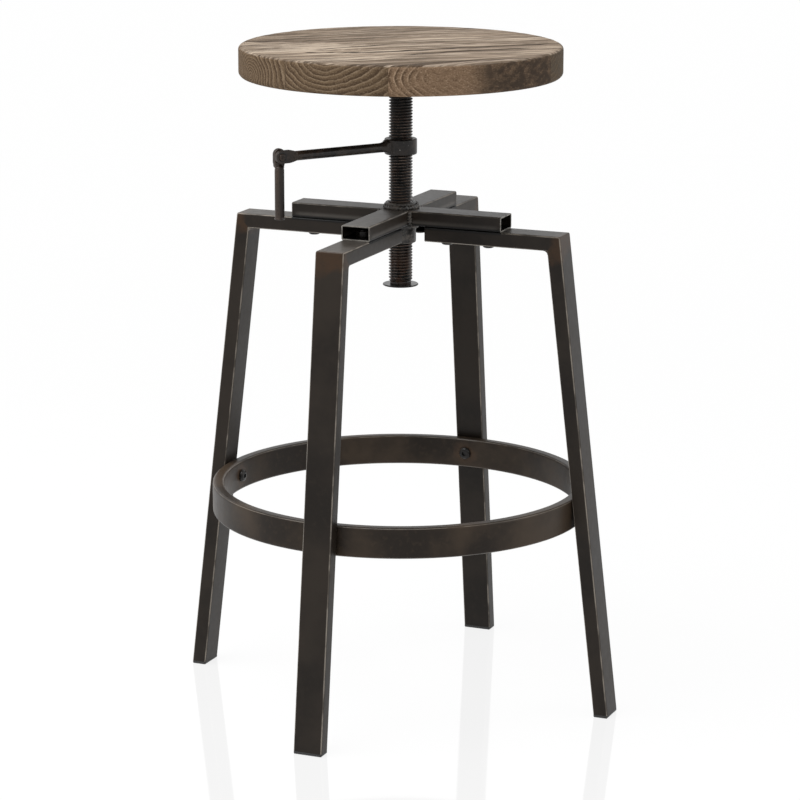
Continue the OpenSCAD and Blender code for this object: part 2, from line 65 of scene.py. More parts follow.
class Body(Enum):
    """The rigid bodies of the stool."""

    BASE = "base"
    STOP = "stop"
    SEAT = "seat_and_screw"
    HANDLE = "handle"


class Side(Enum):
    """The four sides of the base, as degrees from the X axis."""

    FRONT = -90.0
    RIGHT = 0.0
    REAR = 90.0
    LEFT = 180.0

    @property
    def word(self) -> str:
        """The side's name as the CAD nodes spell it."""
        return self.name.lower()

    def aim(self, bm: Mesh) -> None:
        """Turns a mesh from the X axis to this side."""
        bmesh.ops.transform(bm, matrix=Matrix.Rotation(math.radians(self.value), 4, "Z"), verts=bm.verts)


# Shader building


class Signal:
    """A number in a shader, which Python's operators turn into Math nodes."""

    def __init__(self, shader: "Nodes", socket: Socket) -> None:
        """Wraps an output socket of the shader's tree."""
        self.shader = shader
        self.socket = socket

    def math(self, operation: str, *others: "Signal | float") -> "Signal":
        """The result of one Math node, whose first input is this."""
        made = self.shader.node("ShaderNodeMath", {"operation": operation}, dict(enumerate((self, *others))))
        return Signal(self.shader, made.outputs[0])

    __add__ = __radd__ = partialmethod(math, "ADD")
    __sub__ = partialmethod(math, "SUBTRACT")
    __mul__ = __rmul__ = partialmethod(math, "MULTIPLY")
    __truediv__ = partialmethod(math, "DIVIDE")
    __abs__ = partialmethod(math, "ABSOLUTE")
    least = partialmethod(math, "MINIMUM")
    most = partialmethod(math, "MAXIMUM")
    saw = partialmethod(math, "FRACT")  # the part after the decimal point
    root = partialmethod(math, "SQRT")

    def __rsub__(self, other: float) -> "Signal":
        """A number less this."""
        return self * -1.0 + other

    def step(self, low: float, high: float) -> "Signal":
        """Rises smoothly from 0 at low to 1 at high, or falls where high is the smaller.

        Args:
            low: where the result is 0.
            high: where the result is 1.

        Returns:
            The smooth step.
        """
        values = {0: self, 1: min(low, high), 2: max(low, high), 3: float(low > high), 4: float(low < high)}
        made = self.shader.node("ShaderNodeMapRange", {"interpolation_type": "SMOOTHSTEP"}, values)
        return Signal(self.shader, made.outputs[0])


class Nodes:
    """The node tree of a material or of the world."""

    def __init__(self, owner: bpy.types.Material | bpy.types.World) -> None:
        """Starts an empty tree.

        Args:
            owner: the material or the world that the tree belongs to.
        """
        owner.use_nodes = True
        self.tree = owner.node_tree
        self.tree.nodes.clear()

    def node(self, kind: str, settings: dict[str, object], values: dict) -> bpy.types.Node:
        """Adds one node.

        Args:
            kind: the node's type.
            settings: its properties, set first; "stops" holds a ramp's positions and colours.
            values: the value or the link of each input, by name or number.

        Returns:
            The new node.
        """
        made = self.tree.nodes.new(kind)
        for key, value in settings.items():
            if key == "stops":
                self._set_stops(made.color_ramp.elements, value)
            else:
                setattr(made, key, value)
        for key, value in values.items():
            value = getattr(value, "socket", value)
            if isinstance(value, Socket):
                self.tree.links.new(value, made.inputs[key])
            else:
                made.inputs[key].default_value = value
        return made

    @staticmethod
    def _set_stops(elements: bpy.types.ColorRampElements, stops: Sequence[tuple[float, Colour]]) -> None:
        """Gives a colour ramp its stops.

        Args:
            elements: the ramp's own stops.
            stops: the positions and colours to give them.
        """
        while len(elements) < len(stops):
            elements.new(1.0)
        for element, (position, colour) in zip(elements, stops):
            element.position = position
            element.color = (*colour, 1.0)

    def seen(self) -> Signal:
        """Tells the rays that show this to the camera from those that light with it.

        Returns:
            1 for a camera ray, also a mirrored one or one through glass, and 0 for any other.
        """
        path = self.node("ShaderNodeLightPath", {}, {}).outputs
        camera, glossy, through = (
            Signal(self, path[f"Is {kind} Ray"]) for kind in ("Camera", "Glossy", "Transmission")
        )
        return camera.most(glossy).most(through)


class Shader(Nodes):
    """The node tree of one finish, with its surface shader."""

    def __init__(self, name: str) -> None:
        """Starts a material with a Principled surface.

        Args:
            name: the material's name.
        """
        self.material = bpy.data.materials.new(name)
        super().__init__(self.material)
        self.surface = self.node("ShaderNodeBsdfPrincipled", {}, {})
        self.output = self.node("ShaderNodeOutputMaterial", {}, {"Surface": self.surface.outputs[0]})

    def place(self) -> Socket:
        """The point on the object, in its own coordinates."""
        return self.node("ShaderNodeTexCoord", {}, {}).outputs["Object"]

    def turned(self, point: Socket, degrees: float) -> Socket:
        """The point turned about Z."""
        values = {"Vector": point, "Rotation": (0, 0, math.radians(degrees))}
        return self.node("ShaderNodeMapping", {}, values).outputs[0]

    def parts(self, point: Socket) -> tuple[Signal, Signal, Signal]:
        """The three numbers of a vector."""
        made = self.node("ShaderNodeSeparateXYZ", {}, {0: point})
        return tuple(Signal(self, s) for s in made.outputs)

    def joined(self, x: Signal, y: Signal, z: Signal) -> Socket:
        """A vector of three numbers."""
        return self.node("ShaderNodeCombineXYZ", {}, {0: x, 1: y, 2: z}).outputs[0]

    def attribute(self, name: str) -> tuple[Signal, Signal, Signal]:
        """The three numbers of a vertex attribute."""
        made = self.node("ShaderNodeAttribute", {"attribute_name": name}, {})
        return self.parts(made.outputs["Vector"])

    def noise(
        self, point: Socket, scale: float, detail: float = 3.0, rough: float = 0.55,
        stretch: Triple | None = None,
    ) -> Signal:
        """Smooth noise from about 0.25 to 0.75.

        Args:
            point: where it is read.
            scale: repeats a metre.
            detail: octaves.
            rough: how strong the finer octaves are.
            stretch: a further factor of the repeats along each axis.

        Returns:
            The noise.
        """
        if stretch:
            point = self.node("ShaderNodeMapping", {}, {"Vector": point, "Scale": stretch}).outputs[0]
        values = {"Vector": point, "Scale": scale, "Detail": detail, "Roughness": rough}
        return Signal(self, self.node("ShaderNodeTexNoise", {}, values).outputs[0])

    def cells(self, point: Socket, scale: float) -> Signal:
        """The distance to the nearest of scattered points, with so many points a metre."""
        values = {"Vector": point, "Scale": scale}
        return Signal(self, self.node("ShaderNodeTexVoronoi", {}, values).outputs[0])

    def mix(self, share: Signal | float, first: Colour | Socket, second: Colour | Socket) -> Socket:
        """Mixes two colours.

        Args:
            share: how much of the second is used.
            first: the colour at 0.
            second: the colour at 1.

        Returns:
            The mixed colour.
        """
        colours = [(*c, 1.0) if isinstance(c, tuple) else c for c in (first, second)]
        made = self.node("ShaderNodeMix", {"data_type": "RGBA"}, {0: share, 6: colours[0], 7: colours[1]})
        return made.outputs[2]

    def ramp(self, share: Signal, stops: Sequence[tuple[float, Colour]]) -> Socket:
        """The colour along a ramp."""
        return self.node("ShaderNodeValToRGB", {"stops": stops}, {0: share}).outputs[0]

    def bump(self, height: Signal, depth: float, strength: float = 1.0) -> Socket:
        """A normal bent by a height, where 1 is so many metres deep."""
        values = {"Height": height, "Distance": depth, "Strength": strength}
        return self.node("ShaderNodeBump", {}, values).outputs[0]

    def finish(self, **sockets: object) -> bpy.types.Material:
        """Sets the surface's sockets.

        Args:
            sockets: each socket's value or link, by its name with _ for a space.

        Returns:
            The finished material.
        """
        for name, value in sockets.items():
            target = self.surface.inputs[name.replace("_", " ")]
            value = getattr(value, "socket", value)
            if isinstance(value, Socket):
                self.tree.links.new(value, target)
            else:
                target.default_value = (*value, 1.0) if isinstance(value, tuple) else value
        return self.material


# Finishes


@dataclass(frozen=True)
class PatinaSteel:
    """Dark bronze patina, rubbed pale along the edges where the pale rub is also a painted highlight, with
    dust and a painted sheen on the top faces, a painted contact shade where the arms lie on the legs, and
    tinted by heat near the welded corners.
    """

    name: str = "patina_steel"
    dark: Colour = (0.0092, 0.0065, 0.0045)
    mid: Colour = (0.0200, 0.0147, 0.0104)
    # pale rub along the edges, partly a painted highlight of the rounded edges
    rub_and_highlight: Colour = (0.30, 0.265, 0.225)
    # dust on the top faces, partly a painted sheen of light on them
    dust_and_sheen: Colour = (0.093, 0.085, 0.076)
    worn: Colour = (0.26, 0.245, 0.22)
    heat: Colour = (0.040, 0.0210, 0.0100)
    stain: Colour = (0.045, 0.026, 0.015)
    # painted contact shade, the near-black line where an arm lies on a leg
    contact_shade: Colour = (0.0015, 0.0013, 0.0012)
    heat_share: float = 0.85
    shine: float = 0.40
    arm_top: float = 0.536
    leg_top: float = 0.520
    bolt_height: float = 0.221
    bolt_reach: float = 0.2035
    covered: float = -0.066  # the run at which a cross arm's end lies on the leg
    gloss: float = 0.19

    def material(self) -> bpy.types.Material:
        """Builds the finish.

        Returns:
            The material.
        """
        s = Shader(self.name)
        point = s.place()
        across, through, run = s.attribute(RUN)
        z = s.parts(point)[2]
        broad = s.noise(point, 9.0, 4.0, 0.6)
        fine = s.noise(point, 160.0, 4.0)
        colour = s.mix(broad.step(0.36, 0.64), self.dark, self.mid)
        colour = s.mix(fine.step(0.50, 0.72) * 0.35, colour, self.mid)
        colour = s.mix(self.bolt_stain(s, point) * 0.65, colour, self.stain)
        colour = s.mix(self.heat_tint(s, point, across, run) * self.heat_share, colour, self.heat)
        arm_face, leg_face = (z.step(top - 0.5 * MM, top - 0.1 * MM) for top in (self.arm_top, self.leg_top))
        inward = run.step(OPEN_END_RUN + 1 * MM, OPEN_END_RUN + 10 * MM)
        level = arm_face.most(leg_face * inward * through.step(0.0, -0.5))
        # top faces lighter: dust, and a painted sheen of light
        colour = s.mix(level * (broad.step(0.38, 0.60) * 0.40 + 0.25), colour, self.dust_and_sheen)
        edge = ((abs(across) - 0.84) * 6.2).least((abs(through) - 0.68) * 3.1).step(0.38, 0.74)
        patchy = s.noise(point, 42.0, 4.0).step(0.36, 0.60)
        beyond_ring = run.step(RING_RUN + 20 * MM, RING_RUN + 30 * MM)
        touching = run.step(self.covered + 0.5 * MM, self.covered) * beyond_ring * through.step(-0.4, -0.6)
        # edge rub, partly a painted highlight along the rounded edges
        edge_rub_and_highlight = edge * (patchy * 0.75 + 0.25) * (1.0 - touching)
        colour = s.mix(edge_rub_and_highlight * 0.80, colour, self.rub_and_highlight)
        # painted contact shade along the edges where the arms lie on the legs
        colour = s.mix(touching * through.step(-0.50, -0.85), colour, self.contact_shade)
        rim = run.step(OPEN_END_RUN + 0.9 * MM, OPEN_END_RUN + 0.3 * MM)
        rim = rim * run.step(OPEN_END_RUN - 2 * MM, OPEN_END_RUN)
        colour = s.mix(rim * (s.noise(point, 120.0, 3.0).step(0.30, 0.55) * 0.7 + 0.3), colour, self.worn)
        return s.finish(
            Base_Color=colour,
            Roughness=fine * 0.14 + broad * 0.22 + (self.shine - 0.18) + edge_rub_and_highlight * 0.05,
            Specular_IOR_Level=self.gloss,
            Normal=s.bump(fine, 0.05 * MM, 0.5),
        )

    def heat_tint(self, s: Shader, point: Socket, across: Signal, run: Signal) -> Signal:
        """The brown zone round a leg's corner, with an uneven border.

        Args:
            s: the shader.
            point: the point on the object.
            across: the place across the tube.
            run: metres past the mitre.

        Returns:
            How strong the tint is.
        """
        waves = (s.noise(point, 52.0, 3.0) - 0.5) * 0.030
        clouds = s.noise(point, 85.0, 3.0).step(0.25, 0.55) * 0.45 + 0.55
        lower = (run + waves + across * 0.004).step(0.027, 0.015)
        upper = (run + waves * 0.3).step(-0.012, -0.003)
        return lower * upper * clouds

    def bolt_stain(self, s: Shader, point: Socket) -> Signal:
        """The brown halo round the ring's bolts.

        Args:
            s: the shader.
            point: the point on the object.

        Returns:
            How strong the stain is.
        """
        x, y, z = s.parts(point)
        side = abs(x).least(abs(y))
        rise = z - self.bolt_height
        far = (side * side + rise * rise).root() + (s.noise(point, 90.0, 3.0) - 0.5) * 0.014
        inside = (x * x + y * y).root().step(self.bolt_reach + 0.2 * MM, self.bolt_reach - 0.2 * MM)
        return far.step(0.017, 0.007) * inside


@dataclass(frozen=True)
class WeldSteel:
    """Rough weld metal under the patina."""

    name: str = "weld_steel"
    dark: Colour = (0.012, 0.010, 0.008)
    light: Colour = (0.085, 0.072, 0.060)
    gloss: float = 0.45

    def material(self) -> bpy.types.Material:
        """Builds the finish.

        Returns:
            The material.
        """
        s = Shader(self.name)
        point = s.place()
        lumps = s.noise(point, 340.0, 4.0, 0.6)
        spots = s.noise(point, 90.0, 2.0)
        colour = s.mix((lumps * spots * 3.0).step(0.55, 1.05), self.dark, self.light)
        return s.finish(
            Base_Color=colour,
            Roughness=spots * 0.25 + 0.30,
            Specular_IOR_Level=self.gloss,
            Normal=s.bump(lumps, 0.7 * MM, 0.9),
        )


@dataclass(frozen=True)
class ForgedSteel:
    """Blackened steel, with small pits, lighter rubbed places and bare bright specks."""

    name: str
    dark: Colour
    light: Colour
    rust: Colour
    rust_share: float
    rough: float
    pit_depth: float
    streaks: Triple = (1.0, 1.0, 1.0)
    specks: float = 0.0
    pin_ring: float | None = None
    bare: Colour = (0.42, 0.40, 0.37)
    shadow: Colour = (0.002, 0.002, 0.002)
    gloss: float = 0.27
    pin_at: Triple = (-0.084367, -0.119156, 0.6024)
    pin_axis: tuple[float, float] = (-0.816138, 0.577858)

    def material(self) -> bpy.types.Material:
        """Builds the finish.

        Returns:
            The material.
        """
        s = Shader(self.name)
        point = s.place()
        patches = s.noise(point, 70.0, 4.0, stretch=self.streaks)
        grain = s.noise(point, 420.0, 3.0)
        pits = s.cells(point, 330.0).step(0.0, 0.35)
        colour = s.mix(patches.step(0.42, 0.66), self.dark, self.light)
        stained = s.noise(point, 44.0, 5.0, 0.65, self.streaks).step(0.46, 0.62) * self.rust_share
        colour = s.mix(stained, colour, self.rust)
        colour = s.mix(1.0 - pits, colour, self.dark)
        bare = s.noise(point, 260.0, 2.0).step(0.70, 0.76) * self.specks
        colour = s.mix(bare, colour, self.bare)
        if self.pin_ring is not None:
            x, y, z = (part - at for part, at in zip(s.parts(point), self.pin_at))
            along = x * self.pin_axis[0] + y * self.pin_axis[1]
            far = (x * x + y * y + z * z - along * along).root()
            colour = s.mix(abs(far - self.pin_ring).step(0.75 * MM, 0.3 * MM) * 0.9, colour, self.shadow)
        return s.finish(
            Base_Color=colour,
            Roughness=patches * 0.2 + grain * 0.1 + (self.rough - 0.15),
            Specular_IOR_Level=self.gloss,
            Normal=s.bump(pits * 0.6 + grain * 0.4, self.pit_depth, 0.6),
        )


@dataclass(frozen=True)
class ThreadSteel:
    """Oiled steel of the thread: dark and brown in its roots, partly a painted shade there, rubbed on its
    crests, partly a painted highlight, rusty low down, and darker near the top as a painted shadow of the
    seat.
    """

    name: str = "screw_steel"
    # dark steel, and the painted shade in the thread's roots
    root: Colour = (0.0030, 0.0021, 0.0018)
    # rubbed crests, partly a painted highlight
    crest_rub_and_highlight: Colour = (0.098, 0.070, 0.054)
    rust: Colour = (0.040, 0.018, 0.009)
    root_radius: float = 0.0110
    crest_radius: float = 0.0127
    rust_top: float = 0.496
    # where the painted shadow of the seat begins on the thread
    seat_shadow_from: float = 0.620
    gloss: float = 0.32

    def material(self) -> bpy.types.Material:
        """Builds the finish.

        Returns:
            The material.
        """
        s = Shader(self.name)
        point = s.place()
        x, y, z = s.parts(point)
        reach = (x * x + y * y).root()
        # by radius: crests lighter, partly rubbed and partly a painted highlight; roots dark as painted shade
        high = reach.step(self.root_radius + 1.0 * MM, self.crest_radius - 0.1 * MM)
        patches = s.noise(point, 120.0, 4.0)
        colour = s.mix(high * patches.step(0.30, 0.62), self.root, self.crest_rub_and_highlight)
        low_down = z.step(self.rust_top, self.rust_top - 20 * MM)
        rusty = s.noise(point, 60.0, 4.0, 0.6).step(0.40, 0.56) * low_down
        colour = s.mix(rusty * 0.75, colour, self.rust)
        colour = s.mix(s.noise(point, 75.0, 4.0).step(0.50, 0.62) * 0.35, colour, self.rust)
        # painted shadow of the seat over the top of the thread
        colour = s.mix(z.step(self.seat_shadow_from, self.seat_shadow_from + 30 * MM) * 0.8, colour, self.root)
        return s.finish(
            Base_Color=colour,
            Roughness=patches * 0.25 + 0.16,
            Specular_IOR_Level=self.gloss,
            Normal=s.bump(s.noise(point, 500.0, 3.0), 0.08 * MM, 0.5),
        )


@dataclass(frozen=True)
class PlatedSteel:
    """Dull zinc plating."""

    name: str = "plated_steel"
    bright: Colour = (0.42, 0.41, 0.39)
    dull: Colour = (0.30, 0.295, 0.28)

    def material(self) -> bpy.types.Material:
        """Builds the finish.

        Returns:
            The material.
        """
        s = Shader(self.name)
        clouds = s.noise(s.place(), 210.0, 3.0)
        colour = s.mix(clouds.step(0.35, 0.7), self.bright, self.dull)
        return s.finish(Base_Color=colour, Metallic=1.0, Roughness=clouds * 0.2 + 0.28)


@dataclass(frozen=True)
class GlidePlastic:
    """Hard black plastic of the foot glides."""

    name: str = "glide_plastic"
    dark: Colour = (0.012, 0.012, 0.012)
    light: Colour = (0.022, 0.021, 0.020)

    def material(self) -> bpy.types.Material:
        """Builds the finish.

        Returns:
            The material.
        """
        s = Shader(self.name)
        grain = s.noise(s.place(), 900.0, 2.0)
        colour = s.mix(grain.step(0.4, 0.7), self.dark, self.light)
        return s.finish(Base_Color=colour, Roughness=grain * 0.2 + 0.45, Normal=s.bump(grain, 0.04 * MM, 0.5))


@dataclass(frozen=True)
class Heart:
    """The heart line that a board's year rings lie around, in the board's own directions."""

    across: float
    up: float
    year: float
    widen: float = 0.0
    flatten: float = 1.0
    taper: float = 0.0


@dataclass(frozen=True)
class Fissure:
    """A dark crack in the top that runs along the grain."""

    start: float
    end: float
    offset: float
    lean: float
    wander: float
    width: float


@dataclass(frozen=True)
class Spot:
    """A small knot or a cloud on the top, as an ellipse along the grain."""

    along: float
    across: float
    length: float
    width: float


@dataclass(frozen=True)
class Grain:
    """A point of a board in the board's own directions, with its year ring and its fibres."""

    point: Socket
    bent: Socket  # the point where the grain runs straight
    along: Signal
    straight: Signal
    height: Signal
    broad: Signal
    thread: Signal
    fibre: Signal
    late: Signal
    light: Signal


@dataclass(frozen=True)
class BoardWood:
    """Weathered wood: year rings round heart lines, fibres along the grain, a greyed and brushed top, with
    painted shade in its cracks and in the valleys of its brushed grain.
    """

    name: str
    grain_angle: float
    hearts: tuple[tuple[float, Heart], ...]
    body: Colour
    late: Colour
    pale: Colour
    top_dark: Colour
    top_mid: Colour
    top_pale: Colour
    stained: Colour
    stain_from: float
    mottled: float
    uneven: float = 1.0
    plain_from: float = 0.5
    fissures: tuple[Fissure, ...] = ()
    knots: tuple[Spot, ...] = ()
    clouds: tuple[Spot, ...] = ()
    shades: tuple[Spot, ...] = ()
    glue_line: float | None = None
    reach: float = 0.1715
    seat_top: float = 0.710
    seat_middle: float = 0.694
    # painted shade in the valleys of the brushed top, also the dark of the glue joint
    valley_shade_and_joint: Colour = (0.040, 0.028, 0.020)
    # the knots' own dark, and painted shade inside the cracks
    deep: Colour = (0.014, 0.009, 0.006)
    gloss: float = 0.04

    @staticmethod
    def rings(place: tuple[Signal, Signal, Signal], heart: Heart, warp: Signal) -> Signal:
        """The distance from one heart line, counted in years.

        Args:
            place: metres along and across the grain, and above the middle of the seat.
            heart: the heart line.
            warp: unevenness added to the count.

        Returns:
            The count.
        """
        along, across, up = place
        side = across - heart.across
        rise = (up - heart.up) * heart.flatten
        far = (side * side + rise * rise).root()
        return far / (far * heart.widen + heart.year) + along * heart.taper + warp

    @staticmethod
    def ellipse(spot: Spot, g: Grain, noise: Signal) -> Signal:
        """1 inside a spot and 0 outside, with an uneven border.

        Args:
            spot: the spot.
            g: the grain.
            noise: unevenness of the border.

        Returns:
            The mask.
        """
        u = (g.along - spot.along) * (1.0 / spot.length)
        v = (g.straight - spot.across) * (1.0 / spot.width)
        return ((u * u + v * v).root() + (noise - 0.5) * 2.0).step(1.2, 0.5)

    def cracks(self, s: Shader, g: Grain) -> Signal:
        """The fissures of the top, the chosen ones and scattered small ones.

        Args:
            s: the shader.
            g: the grain.

        Returns:
            The mask, 1 in a crack.
        """
        total = s.noise(g.point, 9.0, 3.0, 0.5, (1.0, 14.0, 4.0)).step(0.635, 0.70) * 0.8
        wavy = s.noise(g.point, 13.0, 3.0, stretch=(1.0, 0.3, 0.3)) - 0.5
        patchy = s.noise(g.point, 30.0, 2.0, stretch=(1.0, 3.0, 3.0))
        for f in self.fissures:
            middle = g.along * f.lean + f.offset + wavy * f.wander
            width = patchy * (2.2 * f.width)
            near = (width - abs(g.straight - middle)).step(0.0, 0.5 * f.width)
            ends = g.along.step(f.start - 0.01, f.start + 0.01) * g.along.step(f.end + 0.01, f.end - 0.01)
            total = total.most(near * ends)
        for knot in self.knots:
            total = total.most(self.ellipse(knot, g, patchy))
        return total

    def grain(self, s: Shader) -> Grain:
        """Works out where a point lies in the board, in its year ring and among its fibres.

        Args:
            s: the shader.

        Returns:
            The grain.
        """
        point = s.turned(s.place(), -self.grain_angle)
        along, straight, height = s.parts(point)
        wander = (s.noise(point, 5.0, 1.0, stretch=(1.0, 0.4, 0.4)) - 0.5) * 0.030
        across = straight + wander * along.step(-0.11, 0.02)
        bent = s.joined(along, across, height)
        broad = s.noise(bent, 7.0, 3.0, stretch=(1.0, 6.0, 3.0))
        fine = s.noise(point, 60.0, 2.0)
        warp = (broad - 0.5) * (1.6 * self.uneven) + (fine - 0.5) * (0.9 * self.uneven)
        place = (along, across, height - self.seat_middle)
        count = self.rings(place, self.hearts[0][1], warp)
        for border, heart in self.hearts[1:]:
            here = across.step(border + 0.8 * MM, border - 0.8 * MM)
            count = count * (1.0 - here) + self.rings(place, heart, warp) * here
        year = count.saw()
        clear = 1.0 - self.mottled * s.noise(bent, 22.0, 3.0, stretch=(1.0, 2.0, 2.0)).step(0.40, 0.58)
        clear = clear * (1.0 - along.step(self.plain_from - 0.010, self.plain_from + 0.015) * 0.75)
        return Grain(
            point, bent, along, straight, height, broad,
            thread=s.noise(bent, 9.0, 4.0, 0.6, (1.0, 36.0, 36.0)),
            fibre=s.noise(bent, 34.0, 4.0, 0.65, (1.0, 34.0, 34.0)),
            late=year.step(0.30, 0.80) * year.step(0.95, 0.86) * clear,
            light=year.step(0.90, 0.97).most(year.step(0.22, 0.05)) * clear,
        )

    def side(self, s: Shader, g: Grain) -> Socket:
        """The colour of the rim and the underside, darker beyond the stain's border.

        Args:
            s: the shader.
            g: the grain.

        Returns:
            The colour.
        """
        speckle = s.noise(g.bent, 950.0, 2.0, stretch=(0.5, 1.0, 1.0))
        body = s.mix(g.late * 0.80, self.body, self.late)
        body = s.mix(g.light * 0.55, body, self.pale)
        body = s.mix(g.thread.step(0.50, 0.70) * 0.45, body, self.late)
        body = s.mix(speckle.step(0.54, 0.68) * 0.5, body, self.late)
        body = s.mix(speckle.step(0.44, 0.30) * (0.30 + 0.35 * self.mottled), body, self.pale)
        border = g.along + (s.noise(g.point, 40.0, 3.0) - 0.5) * (20 * MM)
        darkened = border.step(self.stain_from - 24 * MM, self.stain_from + 14 * MM)
        blotches = s.noise(g.bent, 75.0, 4.0, 0.7, (1.0, 1.6, 1.6)).step(0.40, 0.66) * 0.45
        return s.mix(darkened * (0.92 - blotches), body, self.stained)

    def face(self, s: Shader, g: Grain) -> Socket:
        """The colour of the greyed top between its cracks, with painted shade in the valleys of its brushed
        grain.

        Args:
            s: the shader.
            g: the grain.

        Returns:
            The colour.
        """
        streak = s.noise(g.bent, 5.5, 4.0, 0.6, (1.0, 24.0, 7.0))
        top = s.ramp(
            g.broad * 0.30 + streak * 0.42 + g.thread * 0.28,
            ((0.44, self.top_dark), (0.480, self.top_mid), (0.515, self.top_mid), (0.570, self.top_pale)),
        )
        cloudy = s.noise(g.point, 65.0, 3.0)
        for cloud in self.clouds:
            top = s.mix(self.ellipse(cloud, g, cloudy) * 0.75, top, self.top_pale)
        for shade in self.shades:
            top = s.mix(self.ellipse(shade, g, cloudy) * 0.38, top, self.top_dark)
        top = s.mix(g.late * 0.45, top, self.top_dark)
        top = s.mix(g.light * 0.30, top, self.top_pale)
        top = s.mix(g.fibre.step(0.52, 0.72) * 0.5, top, self.top_dark)
        # thin dark lines along the grain: painted shade in the valleys of the brushed top
        gaps = s.noise(g.bent, 14.0, 2.0, stretch=(1.0, 5.0, 5.0)).step(0.42, 0.54)
        top = s.mix(abs(streak - 0.49).step(0.046, 0.020) * gaps * 0.55, top, self.valley_shade_and_joint)
        lines = s.noise(g.bent, 3.6, 3.0, 0.62, (1.0, 22.0, 7.0))
        broken = s.noise(g.bent, 11.0, 2.0, stretch=(1.0, 6.0, 6.0)).step(0.40, 0.56)
        return s.mix(abs(lines - 0.5).step(0.036, 0.012) * (broken * 0.7 + 0.10), top, self.valley_shade_and_joint)

    def material(self) -> bpy.types.Material:
        """Builds the finish.

        Returns:
            The material.
        """
        s = Shader(self.name)
        g = self.grain(s)
        cracked = self.cracks(s, g)
        # cracks and knots: the knots' own dark colour, painted shade inside the cracks
        top = s.mix(cracked * 0.95, self.face(s, g), self.deep)
        worn = g.height + (g.fibre - 0.5) * 2.0 * MM
        greyed = worn.step(self.seat_top - 2.2 * MM, self.seat_top - 0.9 * MM)
        colour = s.mix(greyed, self.side(s, g), top)
        out = (g.along * g.along + g.straight * g.straight).root()
        rim = greyed * out.step(self.reach - 5.5 * MM, self.reach - 2.0 * MM)
        colour = s.mix(rim * (g.late * 0.25 + 0.15), colour, self.late)
        if self.glue_line is not None:
            joint = abs(g.straight - self.glue_line).step(0.6 * MM, 0.2 * MM)
            colour = s.mix(joint * 0.4, colour, self.valley_shade_and_joint)
        relief = g.fibre * 0.25 + g.thread * 0.25 + (1.0 - cracked * greyed) * 0.5 - g.late * 0.15
        return s.finish(
            Base_Color=colour,
            Roughness=g.fibre * 0.2 + 0.62,
            Specular_IOR_Level=self.gloss,
            Normal=s.bump(relief, 0.9 * MM, 0.8),
        )


PATINA = PatinaSteel().material()
PLAIN_PATINA = PatinaSteel("plain_patina_steel", heat_share=0.0).material()
RING_PATINA = PatinaSteel(
    "ring_patina_steel", (0.0130, 0.0088, 0.0058), (0.0440, 0.0300, 0.0190), stain=(0.062, 0.036, 0.020),
    heat_share=0.0,
).material()
WELD = WeldSteel().material()
CRANK_STEEL = ForgedSteel(
    "crank_steel", (0.0085, 0.0065, 0.0056), (0.029, 0.022, 0.0175), (0.048, 0.030, 0.019),
    rust_share=0.35, rough=0.34, pit_depth=0.3 * MM, specks=0.8, pin_ring=4.5 * MM,
).material()
HANDLE_STEEL = ForgedSteel(
    "handle_steel", (0.011, 0.0078, 0.0062), (0.040, 0.029, 0.0225), (0.068, 0.038, 0.022),
    rust_share=0.6, rough=0.34, pit_depth=0.2 * MM, streaks=(1.6, 1.6, 0.18),
).material()
SCREW_STEEL = ThreadSteel().material()
FASTENER_STEEL = ForgedSteel(
    "fastener_steel", (0.0045, 0.0040, 0.0037), (0.014, 0.012, 0.011), (0.030, 0.020, 0.014),
    rust_share=0.15, rough=0.28, pit_depth=0.05 * MM,
).material()
WASHER_STEEL = ForgedSteel(
    "washer_steel", (0.007, 0.006, 0.0055), (0.024, 0.021, 0.019), (0.030, 0.020, 0.014),
    rust_share=0.2, rough=0.24, pit_depth=0.04 * MM,
).material()
PLATED = PlatedSteel().material()
GLIDE = GlidePlastic().material()
MAIN_WOOD = BoardWood(
    name="main_board_wood",
    grain_angle=40.0,
    hearts=(
        (0.0, Heart(-0.023, -0.007, 3.2 * MM, 0.03, 1.25)),
        (-0.084, Heart(-0.122, 0.0284, 5.0 * MM)),
    ),
    body=(0.130, 0.088, 0.053),
    late=(0.048, 0.030, 0.019),
    pale=(0.285, 0.212, 0.142),
    top_dark=(0.125, 0.092, 0.066),
    top_mid=(0.288, 0.225, 0.168),
    top_pale=(0.500, 0.412, 0.324),
    stained=(0.082, 0.066, 0.049),
    stain_from=0.120,
    mottled=0.35,
    fissures=(
        Fissure(-0.140, 0.020, 0.068, 0.03, 0.030, 2.6 * MM),
        Fissure(-0.085, 0.060, -0.048, 0.00, 0.040, 3.5 * MM),
        Fissure(-0.095, -0.010, 0.010, 0.23, 0.016, 2.7 * MM),
        Fissure(-0.010, 0.125, 0.015, 0.00, 0.020, 2.0 * MM),
        Fissure(0.030, 0.150, -0.054, 0.10, 0.036, 2.7 * MM),
        Fissure(-0.020, 0.120, -0.078, 0.10, 0.036, 2.4 * MM),
        Fissure(-0.100, 0.060, 0.105, 0.05, 0.030, 2.0 * MM),
    ),
    knots=(
        Spot(-0.109, -0.036, 8.0 * MM, 4.5 * MM),
        Spot(-0.089, -0.042, 6.0 * MM, 3.6 * MM),
        Spot(-0.065, -0.049, 9.0 * MM, 5.0 * MM),
    ),
    clouds=(
        Spot(-0.100, 0.010, 0.060, 0.034),
        Spot(0.030, -0.090, 0.022, 0.008),
        Spot(-0.080, -0.090, 0.070, 0.010),
    ),
    shades=(Spot(0.020, 0.125, 0.200, 0.075),),
    glue_line=-0.0845,
).material()
